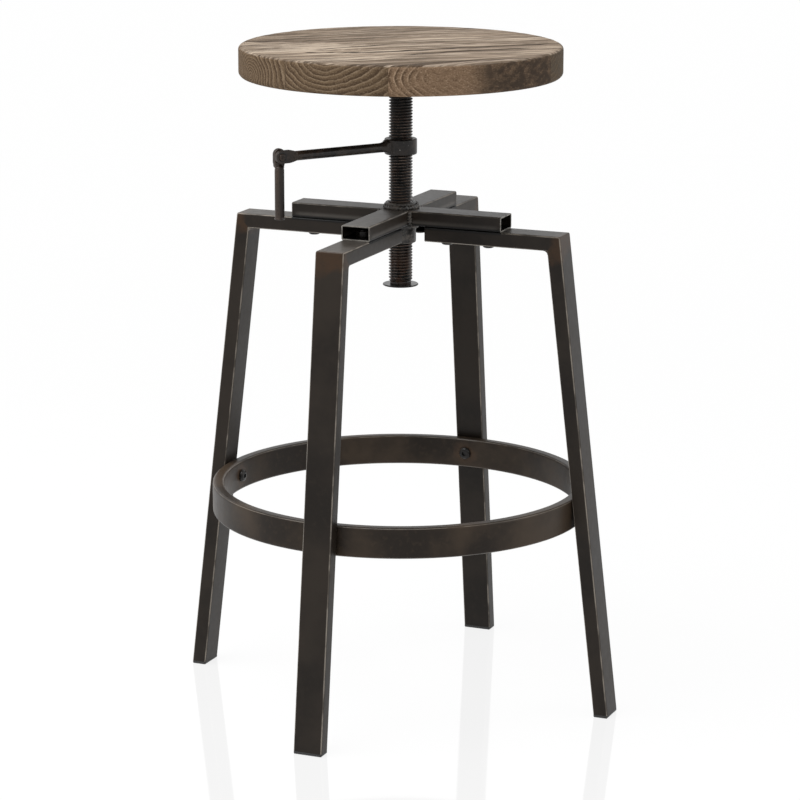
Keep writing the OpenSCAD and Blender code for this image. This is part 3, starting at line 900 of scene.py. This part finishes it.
STRIP_WOOD = BoardWood(
    name="front_board_wood",
    grain_angle=53.0,
    hearts=((0.0, Heart(-0.170, 0.003, 8.0 * MM, 0.0, 1.5, -85.0)),),
    body=(0.200, 0.131, 0.082),
    late=(0.066, 0.041, 0.025),
    pale=(0.400, 0.290, 0.195),
    top_dark=(0.090, 0.065, 0.045),
    top_mid=(0.195, 0.149, 0.111),
    top_pale=(0.360, 0.292, 0.228),
    stained=(0.040, 0.030, 0.023),
    stain_from=-0.002,
    mottled=0.85,
    uneven=0.8,
    plain_from=-0.066,
    fissures=(Fissure(-0.060, 0.060, -0.149, -0.19, 0.020, 1.8 * MM),),
    clouds=(Spot(0.020, -0.160, 0.040, 0.005),),
).material()


# Mesh helpers


def merged(bm: Mesh, gap: float = 1e-6) -> None:
    """Merges doubled vertices and turns every face outwards."""
    bmesh.ops.remove_doubles(bm, verts=bm.verts, dist=gap)
    bmesh.ops.recalc_face_normals(bm, faces=bm.faces)


def chain(bm: Mesh, points: Iterable[Sequence[float]]) -> list:
    """Adds a line of vertices joined by edges.

    Args:
        bm: the mesh.
        points: the vertices' places.

    Returns:
        The new vertices and edges.
    """
    verts = [bm.verts.new(p) for p in points]
    edges = [bm.edges.new(pair) for pair in zip(verts, verts[1:])]
    return [*verts, *edges]


def spun(bm: Mesh, geom: list, steps: int, rise: float = 0.0) -> None:
    """Spins vertices and edges once round the Z axis, closed or with a rise."""
    around = {"cent": (0, 0, 0), "axis": (0, 0, 1), "dvec": (0, 0, rise / steps), "angle": math.tau}
    bmesh.ops.spin(bm, geom=geom, steps=steps, use_merge=not rise, **around)


def lathe(bm: Mesh, profile: Iterable[Sequence[float]], steps: int) -> None:
    """Turns a half section once round the Z axis and closes it."""
    spun(bm, chain(bm, profile), steps)
    merged(bm)


def rounded(bm: Mesh, geom: list, offset: float, segments: int, affect: str = "EDGES") -> dict:
    """Rounds edges or corners.

    Args:
        bm: the mesh.
        geom: the edges or vertices.
        offset: how far back the rounding starts.
        segments: its flats.
        affect: EDGES or VERTICES.

    Returns:
        The operator's result.
    """
    return bmesh.ops.bevel(
        bm, geom=geom, offset=offset, offset_type="OFFSET", segments=segments, profile=0.5, affect=affect,
        material=-1,
    )


def packed_copy(node: str) -> Mesh:
    """A merged copy of a CAD node's mesh, its flat faces joined.

    Args:
        node: the CAD node.

    Returns:
        The copy.
    """
    bm = bmesh.new()
    bm.from_mesh(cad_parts[node].data)
    bmesh.ops.remove_doubles(bm, verts=bm.verts, dist=1e-6)
    bmesh.ops.dissolve_limit(
        bm, angle_limit=math.radians(0.6), use_dissolve_boundaries=False, verts=bm.verts, edges=bm.edges
    )
    return bm


@dataclass(frozen=True)
class Fitting:
    """Where a finished mesh goes: its name, body, material slot and the CAD nodes it stands for."""

    name: str
    body: Body
    slot: str
    nodes: tuple[str, ...]
    material: bpy.types.Material
    sharp: float = 40.0

    def place(self, bm: Mesh, *modifiers: tuple[str, dict[str, object]]) -> bpy.types.Object:
        """Makes the mesh an object, dresses it and puts it on its body.

        Args:
            bm: the mesh, in the model's own frame.
            modifiers: types of modifiers and their settings.

        Returns:
            The object.
        """
        limit = math.radians(self.sharp)
        for face in bm.faces:
            face.smooth = True
        for edge in bm.edges:
            edge.smooth = len(edge.link_faces) != 2 or edge.calc_face_angle(0.0) < limit
        mesh = bpy.data.meshes.new(self.name)
        bm.to_mesh(mesh)
        bm.free()
        mesh.materials.append(self.material)
        piece = bpy.data.objects.new(self.name, mesh)
        bpy.context.scene.collection.objects.link(piece)
        for kind, settings in modifiers:
            modifier = piece.modifiers.new(kind.lower(), kind)
            for key, value in settings.items():
                setattr(modifier, key, value)
        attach(piece, self.body.value)
        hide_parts(*self.nodes)
        log.info("%s: %d faces on %s", self.name, len(mesh.polygons), self.body.value)
        return piece


def soft_edges(width: float, segments: int = 2, angle: float = 30.0) -> tuple[str, dict[str, object]]:
    """The modifier that bevels every edge sharper than an angle in degrees."""
    limit = math.radians(angle)
    return "BEVEL", {"width": width, "segments": segments, "limit_method": "ANGLE", "angle_limit": limit}


EVEN_SHADING = ("WEIGHTED_NORMAL", {"keep_sharp": True, "weight": 50})


def softened(
    name: str, node: str, body: Body, slot: str, material: bpy.types.Material, width: float, segments: int = 2
) -> None:
    """Makes a piece of a CAD node's own mesh, with soft edges of a width and number of steps."""
    Fitting(name, body, slot, (node,), material).place(packed_copy(node), soft_edges(width, segments))


# Base


@dataclass(frozen=True)
class RectTube:
    """Rectangular steel tube with rounded edges."""

    width: float = 0.032
    height: float = 0.016
    wall: float = 0.0015
    edge_round: float = 0.002
    steps: int = 4

    def outline(self, bm: Mesh, x: float, middle: float) -> list[Edge]:
        """Adds the tube's outline in a plane across the X axis.

        Args:
            bm: the mesh.
            x: where the plane is.
            middle: the height of the outline's middle.

        Returns:
            The outline's edges.
        """
        stand = (
            Matrix.Translation((x, 0, middle))
            @ Matrix.Rotation(math.pi / 2, 4, "Y")
            @ Matrix.Diagonal((self.height, self.width, 1, 1))
        )
        made = bmesh.ops.create_grid(bm, x_segments=1, y_segments=1, size=0.5, matrix=stand)
        made = rounded(bm, made["verts"], self.edge_round, self.steps, "VERTICES")
        faces = list({f for v in made["verts"] for f in v.link_faces})
        edges = list({e for f in faces for e in f.edges})
        bmesh.ops.delete(bm, geom=faces, context="FACES_ONLY")
        return edges

    def walled(self) -> tuple[str, dict[str, object]]:
        """The modifier that gives the tube's shell its wall, inwards."""
        return "SOLIDIFY", {"thickness": self.wall, "offset": -1.0, "use_even_offset": True}


def pulled(bm: Mesh, edges: Iterable[Edge], way: Sequence[float]) -> None:
    """Extrudes edges and moves the new ones.

    Args:
        bm: the mesh.
        edges: the edges to extrude.
        way: the move.
    """
    made = bmesh.ops.extrude_edge_only(bm, edges=list(edges))["geom"]
    verts = [g for g in made if isinstance(g, bmesh.types.BMVert)]
    bmesh.ops.translate(bm, verts=verts, vec=way)


def cut_away(bm: Mesh, point: Sequence[float], normal: Sequence[float]) -> list[Edge]:
    """Cuts the mesh with a plane and clears the side that the normal points to.

    Args:
        bm: the mesh.
        point: a point of the plane.
        normal: its normal.

    Returns:
        The edges along the cut.
    """
    geom = [*bm.verts, *bm.edges, *bm.faces]
    made = bmesh.ops.bisect_plane(bm, geom=geom, plane_co=point, plane_no=normal, clear_outer=True, dist=1e-7)
    return [g for g in made["geom_cut"] if isinstance(g, Edge)]


def mark_run(bm: Mesh, frame_at: Callable[[Vector], Triple]) -> None:
    """Writes each vertex's place in its tube into the mesh.

    Args:
        bm: the mesh.
        frame_at: gives the place across, through and along the tube.
    """
    layer = bm.verts.layers.float_vector.new(RUN)
    for vert in bm.verts:
        vert[layer] = frame_at(vert.co)


@dataclass
class Legs:
    """The four bent legs and their foot glides."""

    tube: RectTube
    top: float = 0.520
    start: float = 0.034
    corner_reach: float = 0.1865
    floor_reach: float = 0.248
    glide: float = 0.003
    mitre_round: float = 0.0014
    weld_round: float = 0.0045
    weld_steps: int = 7
    weld_sunk: float = 0.6  # how deep its back lies in the wall, as a share of it

    @property
    def slope(self) -> float:
        """How far a leg leans out for each metre it goes down."""
        return (self.floor_reach - self.corner_reach) / self.top

    @property
    def down(self) -> Vector:
        """The direction down the leg, for the leg along +X."""
        return Vector((self.slope, 0, -1)).normalized()

    @property
    def corner(self) -> Vector:
        """The outer corner at the leg's top."""
        return Vector((self.corner_reach, 0, self.top))

    @property
    def mitre_across(self) -> Vector:
        """The direction of the mitre, from the outer corner to the inner."""
        return (self.down - Vector((1, 0, 0))).normalized()

    def frame_at(self, co: Vector) -> Triple:
        """Where a point of the leg lies in its tube.

        Args:
            co: the point, with the leg along +X.

        Returns:
            Across and through from -1 to 1, and metres past the mitre, less than 0 before it.
        """
        down = self.down
        off = co - self.corner
        before = off.dot(down + Vector((1, 0, 0))) < -1e-6
        deep = self.top - co.z if before else -off.dot(Vector((-down.z, 0, down.x)))
        run = off.x if before else off.dot(down)
        return co.y / (self.tube.width / 2), deep / (self.tube.height / 2) - 1, run

    def leg(self, side: Side) -> None:
        """Builds one leg.

        Args:
            side: where it stands.
        """
        bm = bmesh.new()
        outline = self.tube.outline(bm, self.start, self.top - self.tube.height / 2)
        pulled(bm, outline, (self.corner_reach + self.tube.width, 0, 0))
        normal = (self.down + Vector((1, 0, 0))).normalized()
        past_floor = self.top * 1.2
        pulled(bm, cut_away(bm, self.corner, normal), self.down * past_floor)
        cut_away(bm, (0, 0, self.glide), (0, 0, -1))
        merged(bm)
        mitre = [
            e for e in bm.edges
            if len(e.link_faces) == 2 and all(abs((v.co - self.corner).dot(normal)) < 1e-6 for v in e.verts)
        ]
        rounded(bm, mitre, self.mitre_round, 3)
        mark_run(bm, self.frame_at)
        side.aim(bm)
        node = f"leg_{side.word}"
        tube = Fitting(f"{node}_tube", Body.BASE, "frame_steel", (node,), PATINA)
        tube.place(bm, self.tube.walled(), soft_edges(0.25 * MM, 2, 60.0), EVEN_SHADING)

    def corner_bead(self, side: Side) -> None:
        """Builds the fillet of weld inside one leg's corner.

        Args:
            side: the leg's side.
        """
        tilt = math.atan(self.slope)
        half = (math.pi / 2 + tilt) / 2
        inner = self.corner + self.mitre_across * (self.tube.height / math.sin(half))
        centre = inner + self.mitre_across * (self.weld_round / math.sin(half))
        first = centre + Vector((0, 0, self.weld_round))
        bm = bmesh.new()
        bmesh.ops.spin(
            bm, geom=chain(bm, [first]), cent=centre, axis=(0, 1, 0), dvec=(0, 0, 0),
            angle=math.pi / 2 - tilt, steps=self.weld_steps, use_merge=False,
        )
        arc = sorted(bm.verts, key=lambda v: v.co.x)
        back = bm.verts.new(inner - self.mitre_across * self.tube.wall * self.weld_sunk)
        face = bm.faces.new([*arc, back])
        half_width = self.tube.width / 2 - self.tube.edge_round * 0.5
        bmesh.ops.translate(bm, verts=face.verts, vec=(0, -half_width, 0))
        made = bmesh.ops.extrude_face_region(bm, geom=[face], use_keep_orig=True)
        verts = [g for g in made["geom"] if isinstance(g, bmesh.types.BMVert)]
        bmesh.ops.translate(bm, verts=verts, vec=(0, 2 * half_width, 0))
        merged(bm)
        mark_run(bm, self.frame_at)
        side.aim(bm)
        bead = Fitting(f"leg_{side.word}_corner_weld", Body.BASE, "frame_steel", (), PATINA)
        bead.place(bm, soft_edges(0.2 * MM, 2, 50.0))

    def foot(self, side: Side) -> None:
        """Builds one foot glide.

        Args:
            side: the leg's side.
        """
        node = f"foot_glide_{side.word}"
        bm = packed_copy(node)
        corners = [
            e for e in bm.edges
            if e.calc_face_angle(0.0) > 1.0 and all(v.co.z < self.glide + 0.1 * MM for v in e.verts)
            and abs(e.verts[0].co.z - e.verts[1].co.z) > 1 * MM
        ]
        rounded(bm, corners, self.tube.edge_round, 4)
        Fitting(f"{node}_cap", Body.BASE, "glide_plastic", (node,), GLIDE).place(bm, soft_edges(0.7 * MM, 3))

    def build(self) -> None:
        """Builds all four legs."""
        for side in Side:
            self.leg(side)
            self.corner_bead(side)
            self.foot(side)


@dataclass
class Cross:
    """The cross of four arms round the threaded hub, with its welds and bolts."""

    tube: RectTube
    reach: float
    bottom: float = 0.520
    hub_radius: float = 0.01648
    bead: float = 0.0031
    bead_steps: int = 240
    bead_flats: int = 16
    bead_waves: int = 14
    wave: float = 0.24
    lump: float = 0.30
    lumps: float = 300.0
    blob: float = 0.8
    blob_at: float = 0.55
    blob_spread: float = 0.12
    corner_bead: float = 0.0040
    corner_gap: float = 0.0012
    corner_over: float = 0.0006
    corner_rows: int = 22
    corner_steps: int = 28
    corner_waves: int = 5
    corner_lumps: float = 330.0
    corner_lump: float = 0.0007

    def frame_at(self, co: Vector) -> Triple:
        """The place of an arm's point across, through and along its tube, with the arm along +X."""
        deep = (co.z - self.bottom) / (self.tube.height / 2) - 1
        return co.y / (self.tube.width / 2), deep, self.reach - co.x + OPEN_END_RUN

    def arm(self, side: Side) -> None:
        """Builds one arm, mitred against its neighbours.

        Args:
            side: where it points.
        """
        bm = bmesh.new()
        outline = self.tube.outline(bm, self.reach, self.bottom + self.tube.height / 2)
        pulled(bm, outline, (-self.reach, 0, 0))
        for turn in (-1, 1):
            cut_away(bm, (0, 0, 0), Vector((-1, turn, 0)))
        merged(bm)
        mark_run(bm, self.frame_at)
        side.aim(bm)
        node = f"cross_arm_{side.word}"
        tube = Fitting(f"{node}_tube", Body.BASE, "frame_steel", (node,), PATINA)
        tube.place(bm, self.tube.walled(), soft_edges(0.3 * MM, 2, 60.0), EVEN_SHADING)

    def ring_bead(self, name: str, node: str, height: float, up: float) -> None:
        """Builds the lumpy weld round the hub.

        Args:
            name: the piece's name.
            node: the CAD node it stands for.
            height: the face of the arms it lies on.
            up: 1 above the arms, -1 below them.
        """
        bm = bmesh.new()
        middle = self.hub_radius + self.bead * 0.05
        lift = up * self.bead * 0.45
        section = [
            (middle + self.bead * 0.66 * math.cos(t), 0, height + lift + self.bead * 0.95 * math.sin(t))
            for t in (math.tau * i / self.bead_flats for i in range(self.bead_flats + 1))
        ]
        lathe(bm, section, self.bead_steps)
        for vert in bm.verts:
            turn = math.atan2(vert.co.y, vert.co.x)
            radial = Vector((math.cos(turn), math.sin(turn), 0))
            centre = radial * middle + Vector((0, 0, height + lift))
            out = vert.co - centre
            lean = math.atan2(out.z * up, out.dot(radial))
            ripple = abs(math.sin(turn * self.bead_waves + lean * 0.9)) ** 0.6
            lump = noise.noise(vert.co * self.lumps) + 0.5 * noise.noise(vert.co * (3 * self.lumps))
            past_blob = (turn - self.blob_at + math.pi) % math.tau - math.pi
            swell = self.blob * math.exp(-past_blob ** 2 / self.blob_spread)
            vert.co = centre + out * (0.84 + self.wave * ripple + self.lump * lump + swell)
        bmesh.ops.smooth_vert(
            bm, verts=bm.verts, factor=0.35, use_axis_x=True, use_axis_y=True, use_axis_z=True
        )
        Fitting(name, Body.BASE, "weld_steel", (node,), WELD, 180.0).place(bm)

    def corner_beads(self) -> None:
        """Builds the upright beads between neighbouring arms."""
        low, high = self.bottom + self.corner_gap, self.bottom + self.tube.height + self.corner_over
        profile = [(0, 0, low)]
        for i in range(self.corner_rows + 1):
            share = i / self.corner_rows
            swell = math.sin(math.pi * min(1.0, 0.12 + share * 0.88)) ** 0.5 if share < 1 else 0.0
            ripple = 0.85 + 0.15 * math.sin(share * math.tau * self.corner_waves)
            reach = self.corner_bead * swell * ripple * (1.15 - 0.3 * share) + 1e-5
            profile.append((reach, 0, low + (high - low) * share))
        profile.append((0, 0, high))
        shift = self.tube.width / 2 + self.corner_gap
        bm = bmesh.new()
        for side in Side:
            part = bmesh.new()
            lathe(part, profile, self.corner_steps)
            bmesh.ops.translate(part, verts=part.verts, vec=(shift, shift, 0))
            for vert in part.verts:
                vert.co += Vector((1, 1, 0)) * noise.noise(vert.co * self.corner_lumps) * self.corner_lump
            side.aim(part)
            mesh = bpy.data.meshes.new("bead")
            part.to_mesh(mesh)
            part.free()
            bm.from_mesh(mesh)
            bpy.data.meshes.remove(mesh)
        Fitting("corner_weld_beads", Body.BASE, "weld_steel", ("corner_welds",), WELD, 180.0).place(bm)

    def build(self) -> None:
        """Builds the hub, the arms, their welds and their bolts."""
        softened("hub_sleeve_turned", "hub_sleeve", Body.BASE, "frame_steel", WELD, 0.5 * MM, 3)
        for side in Side:
            self.arm(side)
        self.ring_bead("hub_top_bead", "hub_top_weld", self.bottom + self.tube.height, 1)
        self.ring_bead("hub_bottom_bead", "hub_bottom_weld", self.bottom, -1)
        self.corner_beads()
        softened("arm_bolt_set", "arm_bolts", Body.BASE, "fastener_steel", FASTENER_STEEL, 0.35 * MM)
        softened("arm_nut_set", "arm_nuts", Body.BASE, "fastener_steel", FASTENER_STEEL, 0.4 * MM)


@dataclass
class FootRing:
    """The foot ring with its bolts and inserts."""

    middle: float
    radius: float
    height: float = 0.033
    width: float = 0.0125
    edge_round: float = 0.003
    steps: int = 288

    def frame_at(self, co: Vector) -> Triple:
        """Where a point lies in the ring's tube.

        Args:
            co: the point.

        Returns:
            Across and through from -1 to 1, and the ring's run.
        """
        across = (co.z - self.middle) / (self.height / 2)
        through = (math.hypot(co.x, co.y) - self.radius) / (self.width / 2)
        return across, through, RING_RUN

    def build(self) -> None:
        """Builds the ring, its bolts and its inserts."""
        bm = bmesh.new()
        tube = RectTube(self.height, self.width, edge_round=self.edge_round, steps=5)
        edges = tube.outline(bm, 0.0, 0.0)
        verts = list({v for e in edges for v in e.verts})
        turned = Matrix.Translation((self.radius, 0, self.middle)) @ Matrix(
            ((0, 0, 1, 0), (1, 0, 0, 0), (0, 1, 0, 0), (0, 0, 0, 1))
        )
        bmesh.ops.transform(bm, matrix=turned, verts=verts)
        spun(bm, [*verts, *edges], self.steps)
        merged(bm)
        mark_run(bm, self.frame_at)
        ring = Fitting("foot_ring_tube", Body.BASE, "frame_steel", ("foot_ring",), RING_PATINA)
        ring.place(bm, EVEN_SHADING)
        softened("ring_bolt_set", "ring_bolts", Body.BASE, "fastener_steel", FASTENER_STEEL, 0.35 * MM)
        softened("ring_insert_set", "ring_inserts", Body.BASE, "plated_steel", PLATED, 0.3 * MM)


# Screw, crank and seat


@dataclass
class LiftScrew:
    """The threaded screw with its stop washer below and its plate above."""

    bottom: float = 0.454
    top: float = 0.676
    radius: float = 0.0127
    pitch: float = 0.003175
    depth: float = 0.00185
    easing: float = 0.12 * MM
    neck: float = 0.0016
    neck_radius: float = 0.0113
    runout: float = 1.2  # how long the thread takes to rise from the neck, in pitches
    steps: int = 56

    def thread(self) -> None:
        """Builds the right-hand thread: every turn's section at once, turned and lifted by one pitch."""
        bm = bmesh.new()
        root = self.radius - self.depth
        low, high = root + self.easing, self.radius - self.easing
        shape = (
            (0.00, root), (0.10, root), (0.18, low), (0.43, high),
            (0.50, self.radius), (0.62, self.radius), (0.69, high), (0.94, low),
        )
        turns = int((self.top - self.bottom) / self.pitch) + 2
        first = self.bottom - self.pitch
        points = [(r, 0, first + (turn + share) * self.pitch) for turn in range(turns) for share, r in shape]
        points.append((root, 0, first + turns * self.pitch))
        spun(bm, chain(bm, points), self.steps, self.pitch)
        merged(bm, 2e-6)
        neck_top = self.bottom + self.neck
        for vert in bm.verts:
            share = min(max((vert.co.z - neck_top) / (self.runout * self.pitch), 0.0), 1.0)
            reach = math.hypot(vert.co.x, vert.co.y)
            wanted = self.neck_radius + (reach - self.neck_radius) * share
            vert.co.x *= wanted / reach
            vert.co.y *= wanted / reach
        for end, way in ((self.bottom, -1), (self.top, 1)):
            bmesh.ops.holes_fill(bm, edges=cut_away(bm, (0, 0, end), (0, 0, way)))
        Fitting("screw_thread", Body.SEAT, "screw_steel", ("screw_rod",), SCREW_STEEL, 50.0).place(bm)

    def build(self) -> None:
        """Builds the screw and what is fixed to its two ends."""
        self.thread()
        softened("stop_washer_disc", "stop_washer", Body.STOP, "screw_steel", WASHER_STEEL, 0.2 * MM)
        softened("end_screw_head", "end_screw", Body.SEAT, "fastener_steel", FASTENER_STEEL, 0.4 * MM)
        softened("seat_plate_disc", "seat_plate", Body.SEAT, "frame_steel", PLAIN_PATINA, 0.4 * MM)
        softened("seat_screw_set", "seat_screws", Body.SEAT, "plated_steel", PLATED, 0.3 * MM)
        softened("plate_weld_bead", "plate_weld", Body.SEAT, "weld_steel", WELD, 1.0 * MM, 3)


@dataclass
class Crank:
    """The crank with its folding handle and their pins."""

    voxel: float = 0.0005

    def forged(self, name: str, node: str, body: Body, settle: int, material: bpy.types.Material) -> None:
        """Builds a forged piece: the CAD solid with its edges run together.

        Args:
            name: the piece's name.
            node: the CAD node.
            body: the body it moves with.
            settle: how often its surface is smoothed.
            material: its finish.
        """
        bm = bmesh.new()
        bm.from_mesh(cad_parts[node].data)
        merged(bm)
        Fitting(name, body, "crank_steel", (node,), material, 180.0).place(
            bm,
            ("REMESH", {"mode": "VOXEL", "voxel_size": self.voxel, "use_smooth_shade": True}),
            ("SMOOTH", {"factor": 0.6, "iterations": settle}),
        )

    def build(self) -> None:
        """Builds the crank, the handle and the pins."""
        self.forged("crank_forging", "crank", Body.SEAT, 2, CRANK_STEEL)
        self.forged("handle_forging", "fold_handle", Body.HANDLE, 1, HANDLE_STEEL)
        softened("pivot_rivet", "pivot_pin", Body.SEAT, "crank_steel", HANDLE_STEEL, 0.25 * MM)
        softened("collar_cross_pin", "collar_pin", Body.SEAT, "plated_steel", CRANK_STEEL, 0.3 * MM)


@dataclass
class Seat:
    """The round seat of glued boards."""

    radius: float = 0.1715
    bottom: float = 0.678
    top: float = 0.710
    top_round: float = 0.004
    bottom_round: float = 0.005
    glue_line: float = 0.1415
    board_angle: float = 53.0
    steps: int = 288
    flat_rings: int = 40
    side_rings: int = 8
    arc_steps: int = 7
    middle: float = 0.02  # the radius in which nothing is worn
    worn_from: float = 0.006
    side_wear: float = 0.35 * MM
    side_dents: float = 48.0
    top_wear: float = 0.3 * MM
    top_dents: float = 75.0

    def quarter(self, z: float, r: float, start: float) -> list[Triple]:
        """A quarter circle of the rim round a height z, with radius r, from a start in degrees."""
        turns = [math.radians(start + 90 * i / self.arc_steps) for i in range(self.arc_steps + 1)]
        return [(self.radius - r + r * math.cos(t), 0, z + r * math.sin(t)) for t in turns]

    def profile(self) -> list[Triple]:
        """Draws the seat's half section.

        Returns:
            Its points, from the middle of the underside to the middle of the top.
        """
        flat = self.radius - max(self.top_round, self.bottom_round)
        rings = [flat * i / self.flat_rings for i in range(self.flat_rings)]
        low, high = self.bottom + self.bottom_round, self.top - self.top_round
        rise = self.top - self.top_round - self.bottom - self.bottom_round
        return [
            *[(r, 0, self.bottom) for r in rings],
            *self.quarter(low, self.bottom_round, -90),
            *[(self.radius, 0, low + rise * i / self.side_rings) for i in range(1, self.side_rings)],
            *self.quarter(high, self.top_round, 0),
            *[(r, 0, self.top) for r in reversed(rings)],
        ]

    def board(self, name: str, node: str, beyond: bool, material: bpy.types.Material) -> None:
        """Builds the part of the seat on one side of the glue line.

        Args:
            name: the piece's name.
            node: the CAD node.
            beyond: whether it is the narrow board beyond the line.
            material: its wood.
        """
        bm = bmesh.new()
        lathe(bm, self.profile(), self.steps)
        turn = math.radians(self.board_angle - 90)
        out = Vector((math.cos(turn), math.sin(turn), 0))
        bmesh.ops.holes_fill(bm, edges=cut_away(bm, out * self.glue_line, -out if beyond else out))
        for vert in bm.verts:
            away = Vector((vert.co.x, vert.co.y, 0))
            if away.length > self.middle and vert.co.z > self.bottom + 1 * MM:
                dent = max(0.0, noise.noise(vert.co * self.side_dents)) * self.side_wear
                vert.co -= away.normalized() * dent
                if vert.co.z > self.top - self.worn_from:
                    vert.co.z -= max(0.0, noise.noise(vert.co * self.top_dents)) * self.top_wear
        bmesh.ops.recalc_face_normals(bm, faces=bm.faces)
        board = Fitting(name, Body.SEAT, "seat_wood", (node,), material, 60.0)
        board.place(bm, soft_edges(0.35 * MM, 2, 60.0))

    def build(self) -> None:
        """Builds both boards."""
        self.board("main_board", "seat_main_board", False, MAIN_WOOD)
        self.board("front_board", "seat_front_board", True, STRIP_WOOD)


# Stage


@dataclass
class Studio:
    """The camera, the white floor and the soft lights."""

    camera_at: Triple = (1.3186, -3.13230, 1.13086)
    azimuth: float = 22.83
    pitch: float = 13.3403
    roll: float = 0.082
    lens: float = 145.2745
    shift: float = -0.00044
    aim_height: float = 0.4
    world_light: float = 0.40
    floor_size: float = 16.0
    floor_drop: float = 0.3 * MM
    floor_fade: tuple[float, float] = (0.6, 3.0)
    floor_shade: float = 0.98
    floor_rough: float = 0.05
    floor_shine: float = 0.56
    floor_near: float = 0.84
    floor_far: float = 0.97
    lamps: tuple[tuple[str, Triple, float, float], ...] = (
        ("key", (-0.8, -1.0, 3.0), 2.2, 100.0),
        ("side", (2.6, 0.6, 1.6), 1.8, 19.0),
    )

    def camera(self) -> None:
        """Places the camera where the photograph was taken."""
        data = bpy.data.cameras.new("camera")
        data.lens = self.lens
        data.sensor_width = 36.0
        data.shift_x = self.shift
        data.clip_start, data.clip_end = 0.05, 100.0
        camera = bpy.data.objects.new("camera", data)
        bpy.context.scene.collection.objects.link(camera)
        look = (
            Matrix.Rotation(math.radians(self.azimuth), 4, "Z")
            @ Matrix.Rotation(math.radians(90 - self.pitch), 4, "X")
            @ Matrix.Rotation(math.radians(self.roll), 4, "Z")
        )
        camera.matrix_world = Matrix.Translation(self.camera_at) @ look
        bpy.context.scene.camera = camera

    def floor(self) -> None:
        """Lays the white floor, which shows the stool's soft shadow and a faint reflection."""
        bm = bmesh.new()
        bmesh.ops.create_grid(bm, x_segments=1, y_segments=1, size=self.floor_size)
        bmesh.ops.translate(bm, verts=bm.verts, vec=(0, 0, -self.floor_drop))
        mesh = bpy.data.meshes.new("floor")
        bm.to_mesh(mesh)
        bm.free()
        s = Shader("floor")
        s.finish(
            Base_Color=(self.floor_shade,) * 3, Roughness=self.floor_rough, Metallic=self.floor_shine,
            Specular_IOR_Level=0.5,
        )
        x, y, z = s.parts(s.place())
        far = (x * x + y * y).root().step(*self.floor_fade)
        share = s.seen() * (far * (self.floor_far - self.floor_near) + self.floor_near)
        glow = s.node("ShaderNodeEmission", {}, {"Color": (1, 1, 1, 1), "Strength": 1.0})
        mixed = s.node("ShaderNodeMixShader", {}, {0: share, 1: s.surface.outputs[0], 2: glow.outputs[0]})
        s.tree.links.new(mixed.outputs[0], s.output.inputs["Surface"])
        mesh.materials.append(s.material)
        floor = bpy.data.objects.new("floor", mesh)
        bpy.context.scene.collection.objects.link(floor)

    def lamp(self, name: str, at: Sequence[float], size: float, power: float) -> None:
        """Hangs one square soft light that faces the stool.

        Args:
            name: its name.
            at: where it is.
            size: its side.
            power: its power in watts.
        """
        data = bpy.data.lights.new(name, "AREA")
        data.shape = "SQUARE"
        data.size = size
        data.energy = power
        lamp = bpy.data.objects.new(name, data)
        lamp.location = at
        lamp.rotation_mode = "QUATERNION"
        lamp.rotation_quaternion = (Vector((0, 0, self.aim_height)) - Vector(at)).to_track_quat("-Z", "Y")
        bpy.context.scene.collection.objects.link(lamp)

    def world(self) -> None:
        """Surrounds the stage with white, which lights the stool more weakly than it shows."""
        world = bpy.data.worlds.new("surroundings")
        bpy.context.scene.world = world
        s = Nodes(world)
        light = s.seen() * (1.0 - self.world_light) + self.world_light
        back = s.node("ShaderNodeBackground", {}, {"Color": (1, 1, 1, 1), "Strength": light})
        s.node("ShaderNodeOutputWorld", {}, {"Surface": back.outputs[0]})

    def build(self) -> None:
        """Sets up the whole stage."""
        self.camera()
        self.floor()
        for lamp in self.lamps:
            self.lamp(*lamp)
        self.world()
        bpy.context.scene.view_settings.view_transform = "Standard"


def main() -> None:
    """Builds the stool piece by piece, and then the stage."""
    logging.basicConfig(level=logging.INFO, format="%(message)s")
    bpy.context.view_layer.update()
    tube = RectTube()
    Legs(tube).build()
    Cross(tube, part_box("cross_arm_right")[1].x).build()
    ring_low, ring_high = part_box("foot_ring")
    FootRing((ring_low.z + ring_high.z) / 2, ring_high.x - FootRing.width / 2).build()
    LiftScrew().build()
    Crank().build()
    Seat().build()
    Studio().build()


if __name__ == "__main__":
    main()
